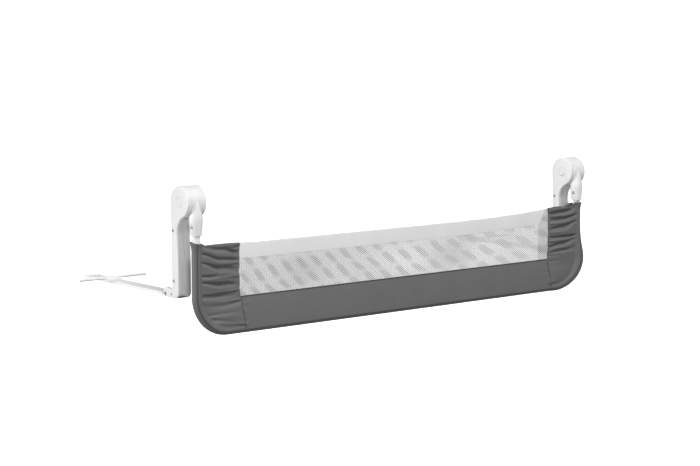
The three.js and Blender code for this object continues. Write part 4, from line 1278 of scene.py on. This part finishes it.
TAUT_OVER = 50 * MM
FULLER_ABOVE = 10 * MM
FULLER_BELOW = 60 * MM
# A collar's slant, the angle it slants towards, and where its height starts and stops falling
LEFT_COLLAR = (0.25, math.radians(222), 0, 18 * MM)
RIGHT_COLLAR = (0.25, math.radians(60), 8 * MM, 30 * MM)


class Fold:
    """A valley from the tube to the seam. Its depth down the panel in mm, its strength and its
    width are given at the tube, halfway and at the seam."""

    def __init__(self, depths, strengths, widths):
        self.depths = depths
        self.strengths = strengths
        self.widths = widths

    def sink(self, share, depth):
        """How far the valley sinks the cloth at a share of the way from the tube to the seam."""
        def at(values):
            if share < 0.5:
                return mix(values[0], values[1], ease(share, 0, 0.5))
            return mix(values[1], values[2], ease(share, 0.5, 1))
        away = (depth / MM - at(self.depths)) / (FOLD_WIDTH * at(self.widths))
        calm = 1 - 0.5 * ease(depth, CALM_FROM, CALM_TO)
        return FOLD_DEPTH * calm * at(self.strengths) * MM * math.exp(-away * away)


def pleats(*rows):
    """Narrow valleys that begin halfway: their depth, and their strength there and at the seam."""
    return [Fold((depth,) * 3, (0.0, middle, seam), (3, 3, 3)) for depth, middle, seam in rows]


LEFT_FOLDS = (
    Fold((4, 14, 28), (1.0, 2.4, 4.5), (5, 7, 6)),
    Fold((22, 41, 47), (2.5, 3.0, 2.4), (4, 6, 5)),
    Fold((48, 66, 75), (1.8, 4.6, 5.2), (4, 9, 9)),
    Fold((85, 86, 84), (4.5, 0.6, 0.0), (3.5, 5, 5)),
    Fold((102, 111, 116), (2.4, 4.8, 4.6), (4, 8, 8)),
    Fold((142, 143, 143), (3.5, 4.2, 4.4), (6, 8, 7)),
    Fold((168, 171, 165), (0.5, 1.6, 2.8), (6, 8, 6)),
    Fold((194, 192, 190), (2.6, 1.4, 0.3), (4, 7, 8)),
    Fold((208, 216, 214), (3.4, 1.2, 0.0), (7, 12, 9)),
    *pleats((11, 0.2, 2.2), (60, 0.3, 2.2), (97, 0.5, 2.4), (103, 0.2, 1.6), (126, 0.4, 2.4)),
    Fold((135, 135, 134), (0.0, 0.2, 1.8), (3, 3, 3)),
    Fold((154, 154, 153), (0.0, 0.4, 2.2), (3, 3, 3)),
)
RIGHT_FOLDS = (
    Fold((9, 15, 20), (2.0, 4.2, 3.4), (5, 8, 7)),
    Fold((29, 36, 41), (3.6, 4.4, 4.4), (5, 7, 7)),
    Fold((50, 62, 71), (2.2, 4.8, 4.6), (5, 8, 8)),
    Fold((93, 94, 95), (4.6, 3.8, 4.4), (3.5, 6, 7)),
    Fold((106, 115, 126), (1.6, 4.4, 5.2), (7, 8, 7)),
    Fold((132, 139, 144), (0.6, 2.4, 4.4), (8, 7, 5)),
    Fold((190, 186, 180), (0.6, 1.0, 0.6), (14, 16, 14)),
    *pleats((31, 0.3, 2.4), (55, 0.4, 2.4), (62, 0.2, 1.8), (84, 0.3, 2.0), (111, 0.4, 2.4)),
    *pleats((134, 0.4, 2.0), (152, 0.3, 2.2)),
    Fold((170, 170, 170), (0.0, 0.2, 1.4), (4, 4, 4)),
)


def seam_shift(z):
    """How far the seams between the panels and the band stray along X at a height."""
    below = max(0.0, BAND_TOP - z)
    stray = SEAM_STRAY * wave((0, z, 1), SEAM_STRAY_PITCH, 4)
    return SEAM_LEAN * below + stray * ease(below, 0, SEAM_STRAY_FROM)


DROP = BAND_TOP - TUBE_BOTTOM
TOUCH = math.acos(SLEEVE_RADIUS / DROP)


def loop_bulge(level):
    """Half the thickness of the cloth loop at a share of the way down to the bottom tube."""
    straight = mix(BAND_HALF, SLEEVE_RADIUS * math.sin(TOUCH), level)
    return straight + BAND_BULGE * math.sin(math.pi * level)


def loop_half(z):
    """Half the thickness of the cloth loop round the bottom tube, at a height."""
    return loop_bulge(limit((BAND_TOP - z) / (DROP - SLEEVE_RADIUS * math.cos(TOUCH))))


def fabric(piece):
    """Gives a finished sheet its thickness."""
    return apply(line_up(piece), "SOLIDIFY", thickness=CLOTH, offset=-1)


class Panel:
    """One end panel, on the left (side -1) or the right (side 1)."""

    def __init__(self, name, side, seam_x, top, folds, back_folds, pinch, slack, collar):
        self.name = name
        self.side = side
        self.top = top
        self.straight = top - BEND_TOP
        self.tube_x = side * TUBE_SPACING / 2
        self.width = abs(self.tube_x - seam_x)
        self.folds = folds
        self.back_folds = back_folds
        self.pinch = pinch
        self.slack = slack
        self.collar = collar
        self.arc = PINCH_RADIUS * math.pi / 2
        self.bottom = self.width - BEND_RADIUS
        self.length = self.straight + self.arc + self.bottom

    def tube(self, run, inward):
        """The place at a run down the tube's line, moved inwards: its distance and its depth."""
        if run < self.straight:
            return Vector((inward, run)), 0.0
        turn = (run - self.straight) / PINCH_RADIUS
        if turn < math.pi / 2:
            radius = BEND_RADIUS - inward
            return Vector((
                BEND_RADIUS - radius * math.cos(turn),
                self.straight + radius * math.sin(turn),
            )), turn / (math.pi / 2)
        along = run - self.straight - self.arc
        return Vector((BEND_RADIUS + along, self.straight + BEND_RADIUS - inward)), 1.0

    def seam(self, run):
        """The place on the mesh seam that meets that run down the tube."""
        level = self.straight * 0.92
        lowest = self.straight + BEND_RADIUS - STITCH_IN
        if run < level:
            return Vector((self.width, run))
        return Vector((self.width, mix(level, lowest, (run - level) / (self.length - level))))

    def hold(self, bend):
        """How far the channel beside the tube is stitched down, 1 on the straight."""
        return self.pinch * (1 - ease(bend, 0.25, 0.75))

    def half(self, place, share, bend):
        """Half the panel's thickness before its folds, share being 0 at the tube."""
        depth = place.y
        low = ease(depth, LOW_FROM, CALM_TO)
        at_seam = max(SEAM_HALF, loop_half(self.top - depth))
        at_channel = mix(CHANNEL_HALF, PINCHED_HALF, self.hold(bend))
        puff = mix(PUFF_HALF, PUFF_HALF_LOW, low) * (4 * share * (1 - share)) ** 0.7
        return mix(at_channel, at_seam, share) + puff

    def sheet_place(self, share, run, face):
        """A place on the front (face -1) or back (face 1) cloth."""
        channel, bend = self.tube(run, STITCH_IN)
        place = channel.lerp(self.seam(run), share)
        half = self.half(place, share, bend)
        folds = self.folds if face < 0 else self.back_folds
        sink = sum(fold.sink(share, place.y) for fold in folds)
        seam_pull = 1 - ease(share, 0.9, 1.0)
        spot = (place.x, place.y, face)
        crumple = wave(spot, CRUMPLE_PITCH, 2 + self.side) * 0.5 + wave(spot, BUCKLE_PITCH, 5) * 0.7
        gathers = wave((0, place.y, face), GATHER_PITCH, 8 + self.side) * 1.1 * ease(share, 0.72, 0.97)
        calm = 1 - 0.6 * ease(place.y, CALM_FROM, CRUMPLE_TO)
        stand = max(LEAST_HALF, half - sink + (crumple + gathers) * MM * calm)
        stand = mix(half, stand, mix(0.35, 1, seam_pull) * ease(share, -0.02, 0.06))
        window = self.top - BAND_TOP
        ripple = SEAM_RIPPLE * wave((0, place.y, 1), SEAM_RIPPLE_PITCH, 4) * ease(share, 0.85, 1)
        ripple -= SEAM_BOW * math.sin(math.pi * limit(place.y / window)) * ease(share, 0.5, 1)
        ripple *= 1 - ease(place.y, window, window + BOW_ENDS_OVER)
        ripple -= self.side * seam_shift(self.top - place.y) * ease(share, 0.3, 1)
        first = self.first_angle(bend)
        angle = first if face < 0 else 2 * math.pi - first
        start_x, end_x = self.collar[2:]
        lift = self.lift(run, angle) * (1 - ease(place.x - STITCH_IN, start_x, end_x))
        return Vector((place.x + ripple, place.y - lift, face * stand))

    def lift(self, run, angle):
        """How far the slanting collar stands above the panel's top edge."""
        slant, towards = self.collar[:2]
        rise = COLLAR_RISE * (1 + slant * math.cos(angle - towards))
        return rise * (1 - ease(run, 0, 2 * COLLAR_RISE))

    def first_angle(self, bend):
        """Where the sleeve leaves the front channel, as an angle round the tube."""
        return math.radians(mix(62, 28, self.hold(bend)))

    def sleeve_place(self, turn, run):
        """A place round the tube's sleeve, turn going from the front channel to the back."""
        centre, bend = self.tube(run, 0)
        channel, _ = self.tube(run, STITCH_IN)
        inward = (channel - centre) / STITCH_IN
        hold = self.hold(bend)
        first = self.first_angle(bend)
        angle = mix(first, 2 * math.pi - first, turn)
        flare = 1 + 0.28 * (1 - ease(run, 0, FLARE_LENGTH))
        flare -= 0.05 * bell(run + COLLAR_RISE - COLLAR_HEM, HEM_STITCH_HALF)
        crease = 1 - 0.17 * hold * bell(angle - CREASE_ANGLE, CREASE_HALF)
        sway = 1 + 0.02 * wave((run, 0, 0), SWAY_PITCH, 6 + self.side)
        radius = SLEEVE_RADIUS * flare * sway * crease
        loose = self.slack * bell(run - SLACK_RUN, SLACK_HALF)
        radius += loose * (0.5 - 0.5 * math.cos(angle))
        at = centre + inward * radius * math.cos(angle)
        near_seam = ease(run, self.straight + self.arc, self.length)
        stray = self.side * seam_shift(self.top - at.y) * near_seam
        return Vector((at.x - stray, at.y - self.lift(run, angle), -radius * math.sin(angle)))

    def place(self, across, down):
        """The cover's place in the model, once round from the front seam to the back seam."""
        column = across * ROUND_COLUMNS
        run = down * self.length
        if column <= SHEET_COLUMNS:
            return self.in_model(self.sheet_place(1 - column / SHEET_COLUMNS, run, -1))
        column -= SHEET_COLUMNS
        if column < SLEEVE_COLUMNS:
            return self.in_model(self.sleeve_place(column / SLEEVE_COLUMNS, run))
        return self.in_model(self.sheet_place((column - SLEEVE_COLUMNS) / SHEET_COLUMNS, run, 1))

    def in_model(self, spot):
        return Vector((self.tube_x - self.side * spot.x, TUBE_Y + spot.z, self.top - spot.y))

    def in_panel(self, place):
        return Vector((self.side * (self.tube_x - place.x), self.top - place.z, place.y - TUBE_Y))

    def held(self, place):
        """The seams, the sleeve and the top edge are held, and the low part of the panel is taut."""
        spot = self.in_panel(place)
        inner = (spot.x - STITCH_IN) / (self.width - STITCH_IN)
        if spot.x > self.width - SEAM_HOLD or inner < 0.03 or spot.y < TOP_HOLD:
            return 1.0
        corner = Vector((BEND_RADIUS - spot.x, spot.y - self.straight))
        if corner.x > 0 and corner.y > 0 and corner.length > PINCH_RADIUS - EDGE_HOLD:
            return 1.0
        if spot.y > self.straight + BEND_RADIUS - STITCH_IN - EDGE_HOLD:
            return 1.0
        return 0.4 + 0.4 * ease(spot.y, self.straight, self.straight + TAUT_OVER)

    def flat_place(self, place):
        """Where the cloth lay flat: longer down the seam than the seam itself."""
        spot = self.in_panel(place)
        share = limit((spot.x - STITCH_IN) / (self.width - STITCH_IN))
        upper = 1 - ease(spot.y, self.straight - FULLER_ABOVE, self.straight + FULLER_BELOW)
        fuller = 1 + GATHER * ease(share, 0.05, 0.9) * upper
        return self.in_model(Vector((spot.x, spot.y * fuller, spot.z * 0.6)))

    def make(self):
        made = sheet(self.name, ROUND_COLUMNS, PANEL_ROWS, self.place)
        gather(made, self.held, self.flat_place)
        for point in made.data.vertices:
            spot = self.in_panel(point.co)
            if abs(spot.z) < LEAST_HALF_AFTER:
                spot.z = math.copysign(LEAST_HALF_AFTER, spot.z)
                point.co = self.in_model(spot)
        return fabric(made)


left_panel = Panel(
    "left_ruched_panel",
    side=-1,
    seam_x=LEFT_SEAM,
    top=LEFT_TOP,
    folds=LEFT_FOLDS,
    back_folds=RIGHT_FOLDS,
    pinch=1.0,
    slack=0.0,
    collar=LEFT_COLLAR,
).make()
right_panel = Panel(
    "right_ruched_panel",
    side=1,
    seam_x=RIGHT_SEAM,
    top=RIGHT_TOP,
    folds=RIGHT_FOLDS,
    back_folds=LEFT_FOLDS,
    pinch=0.0,
    slack=RIGHT_SLACK,
    collar=RIGHT_COLLAR,
).make()

# Lower band, a loop of cloth round the bottom tube

BAND_COLUMNS = 240
BAND_ROWS = 64
SOFT_PITCH = 120 * MM
SMALL_SOFT_PITCH = 45 * MM
PUCKER_PITCH = 9 * MM
PUCKER_REACH = 34 * MM
REACH = math.sqrt(DROP**2 - SLEEVE_RADIUS**2)


def band_place(across, down):
    x = mix(LEFT_SEAM, RIGHT_SEAM, across)
    side = -1 if down < 0.5 else 1
    share = 1 - abs(2 * down - 1)
    way = share * (REACH + SLEEVE_RADIUS * (math.pi - TOUCH))
    if way < REACH:
        z = BAND_TOP - way * math.sin(TOUCH)
        half = loop_bulge(way / REACH)
    else:
        angle = TOUCH + (way - REACH) / SLEEVE_RADIUS
        z = TUBE_BOTTOM + SLEEVE_RADIUS * math.cos(angle)
        half = SLEEVE_RADIUS * math.sin(angle)
    ends = min(x - LEFT_SEAM, RIGHT_SEAM - x)
    x += seam_shift(z)
    soft = wave((x, z, side), SOFT_PITCH, 3) * 1.3 + wave((x, z, side), SMALL_SOFT_PITCH, 9) * 0.35
    pucker = wave((x * 0.3, z, side), PUCKER_PITCH, 12) * 3.5 * (1 - ease(ends, 0, PUCKER_REACH))
    taut = ease(share, 0, 0.12) * (1 - ease(share, 0.7, 0.85))
    return Vector((x, TUBE_Y + side * (half + (soft + pucker) * MM * taut), z))


lower_band = fabric(sheet("lower_cover", BAND_COLUMNS, BAND_ROWS, band_place))

# Mesh window of two layers, and the doubled hem along its top

MESH_HALF = 0.9 * MM
HEM_HALF = 1.5 * MM
TUCK = 4 * MM
WINDOW_LAP = 1 * MM
TOP_EASES_OVER = 50 * MM
TOP_RISES_FROM = 150 * MM
WINDOW_SWAY = 1.8 * MM
WINDOW_SWAY_PITCH = 160 * MM
HEM_CLEAR = 0.35 * MM
HEM_RIPPLE = 0.3 * MM
HEM_RIPPLE_PITCH = 60 * MM
WINDOW_GRID = (200, 30)
HEM_GRID = (220, 40)


def top_line(x):
    """The cover's top edge: level over most of the mesh, higher towards the right end."""
    left_end = (LEFT_TOP - COVER_TOP) * (1 - ease(x, LEFT_SEAM, LEFT_SEAM + TOP_EASES_OVER))
    share = max(0.0, (x - TOP_RISES_FROM) / (RIGHT_SEAM - TOP_RISES_FROM))
    right_end = (RIGHT_TOP - COVER_TOP) * share**2.6
    return COVER_TOP + left_end + right_end


def mesh_layer(side):
    def place(across, down):
        x = mix(LEFT_SEAM - TUCK, RIGHT_SEAM + TUCK, across)
        top = top_line(x)
        z = mix(top - WINDOW_LAP, BAND_TOP - TUCK, down)
        below_hem = (top - HEM_WIDTH - z) / (top - HEM_WIDTH - BAND_TOP)
        loose = math.sin(math.pi * limit(below_hem))
        loose *= ease(min(across, 1 - across), 0, 0.03)
        sway = wave((x, z * 0.5, side), WINDOW_SWAY_PITCH, 20 + side) * WINDOW_SWAY
        return Vector((x, TUBE_Y + side * MESH_HALF + sway * loose, z))
    return place


window_front = line_up(sheet("window_front", *WINDOW_GRID, mesh_layer(-1)))
window_back = line_up(sheet("window_back", *WINDOW_GRID, mesh_layer(1)))


def hem_place(across, down):
    side = -1 if down < 0.5 else 1
    share = 1 - abs(2 * down - 1)
    end = mix(HEM_END_LOW, HEM_END_TOP, share**0.7)
    x = mix(LEFT_SEAM - TUCK, end, across)
    z = top_line(x) - HEM_WIDTH * (1 - share)
    half = mix(MESH_HALF + HEM_CLEAR, HEM_HALF, math.sin(math.pi * min(1, share * 1.1)))
    half *= math.sqrt(max(0.0, 1 - max(0.0, (share - 0.93) / 0.07) ** 2))
    ripple = wave((x, z, side), HEM_RIPPLE_PITCH, 30) * HEM_RIPPLE * (1 - share)
    return Vector((x, TUBE_Y + side * (half + ripple), z))


hem = line_up(sheet("top_edge_hem", *HEM_GRID, hem_place))

for piece in (left_panel, right_panel, lower_band, window_front, window_back, hem):
    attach(piece, "rail")
for piece in (left_panel, right_panel, lower_band):
    dress(piece, "grey_fabric")
for piece in (window_front, window_back):
    dress(piece, "white_mesh")
dress(hem, "white_hem")
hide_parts("left_end_panel")
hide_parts("right_end_panel")
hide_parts("lower_band")
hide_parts("mesh_window")
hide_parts("top_hem")

# Camera, floor and light

SENSOR = 36
LENS = 97.43
CAMERA_PLACE = (-3.64499, -4.29889, 0.80781)
CAMERA_DOWN = 0.1221
CAMERA_TURN = -0.6848
SEEN_TO = 6000
FLOOR_SIZE = 4000
FLOOR_Z = -0.35
BACKDROP_HEIGHT = 300
AIR_LIGHT = 0.29
PAPER_LIGHT = 1.05
SOFTBOXES = (
    # name, place, target, size and power
    ("front", (-0.2, -3, 4), (0, 0, 0), (3.6, 1.2), 176),
    ("side", (-7, 3.2, 0.6), (-0.6, 0, 0.1), (2.4, 1.8), 345),
    ("fill", (-3.4, -4.4, 0.5), (-0.3, 0, 0), (2.4, 2.4), 62),
    ("top", (0, 0.4, 4), (0, 0, 0), (4, 3), 15),
)

camera_data = bpy.data.cameras.new("camera")
camera_data.sensor_width = SENSOR
camera_data.lens = LENS
camera_data.clip_end = SEEN_TO
camera = bpy.data.objects.new("camera", camera_data)
bpy.context.scene.collection.objects.link(camera)
camera.location = CAMERA_PLACE
camera.rotation_euler = (math.pi / 2 - CAMERA_DOWN, 0, CAMERA_TURN)
bpy.context.scene.camera = camera

start()
bpy.ops.mesh.primitive_plane_add(size=FLOOR_SIZE, location=(0, 0, FLOOR_Z))
floor = named("floor")
edit_edges(floor, lambda middle, run: middle.x > 0 or middle.y > 0)
bpy.ops.mesh.extrude_edges_move(TRANSFORM_OT_translate={"value": (0, 0, BACKDROP_HEIGHT)})
bpy.ops.mesh.select_mode(type="VERT")
bpy.ops.object.mode_set(mode="OBJECT")
paper = Finish("paper", Base_Color=grey(0.9), Roughness=1.0)
paper.set(Emission_Color=grey(1.0), Emission_Strength=PAPER_LIGHT)
floor.data.materials.append(paper.data)
floor.visible_diffuse = False
floor.visible_glossy = False

world = bpy.data.worlds.new("studio")
world.use_nodes = True
background = world.node_tree.nodes["Background"]
background.inputs["Color"].default_value = grey(1.0)
background.inputs["Strength"].default_value = AIR_LIGHT
bpy.context.scene.world = world
bpy.context.scene.view_settings.view_transform = "Standard"


def softbox(name, place, target, size, power):
    data = bpy.data.lights.new(name, "AREA")
    data.shape = "RECTANGLE"
    data.size, data.size_y = size
    data.energy = power
    light = bpy.data.objects.new(name, data)
    bpy.context.scene.collection.objects.link(light)
    light.location = place
    direction = Vector(target) - Vector(place)
    light.rotation_euler = direction.to_track_quat("-Z", "Y").to_euler()


for lamp in SOFTBOXES:
    softbox(*lamp)

bpy.context.view_layer.update()
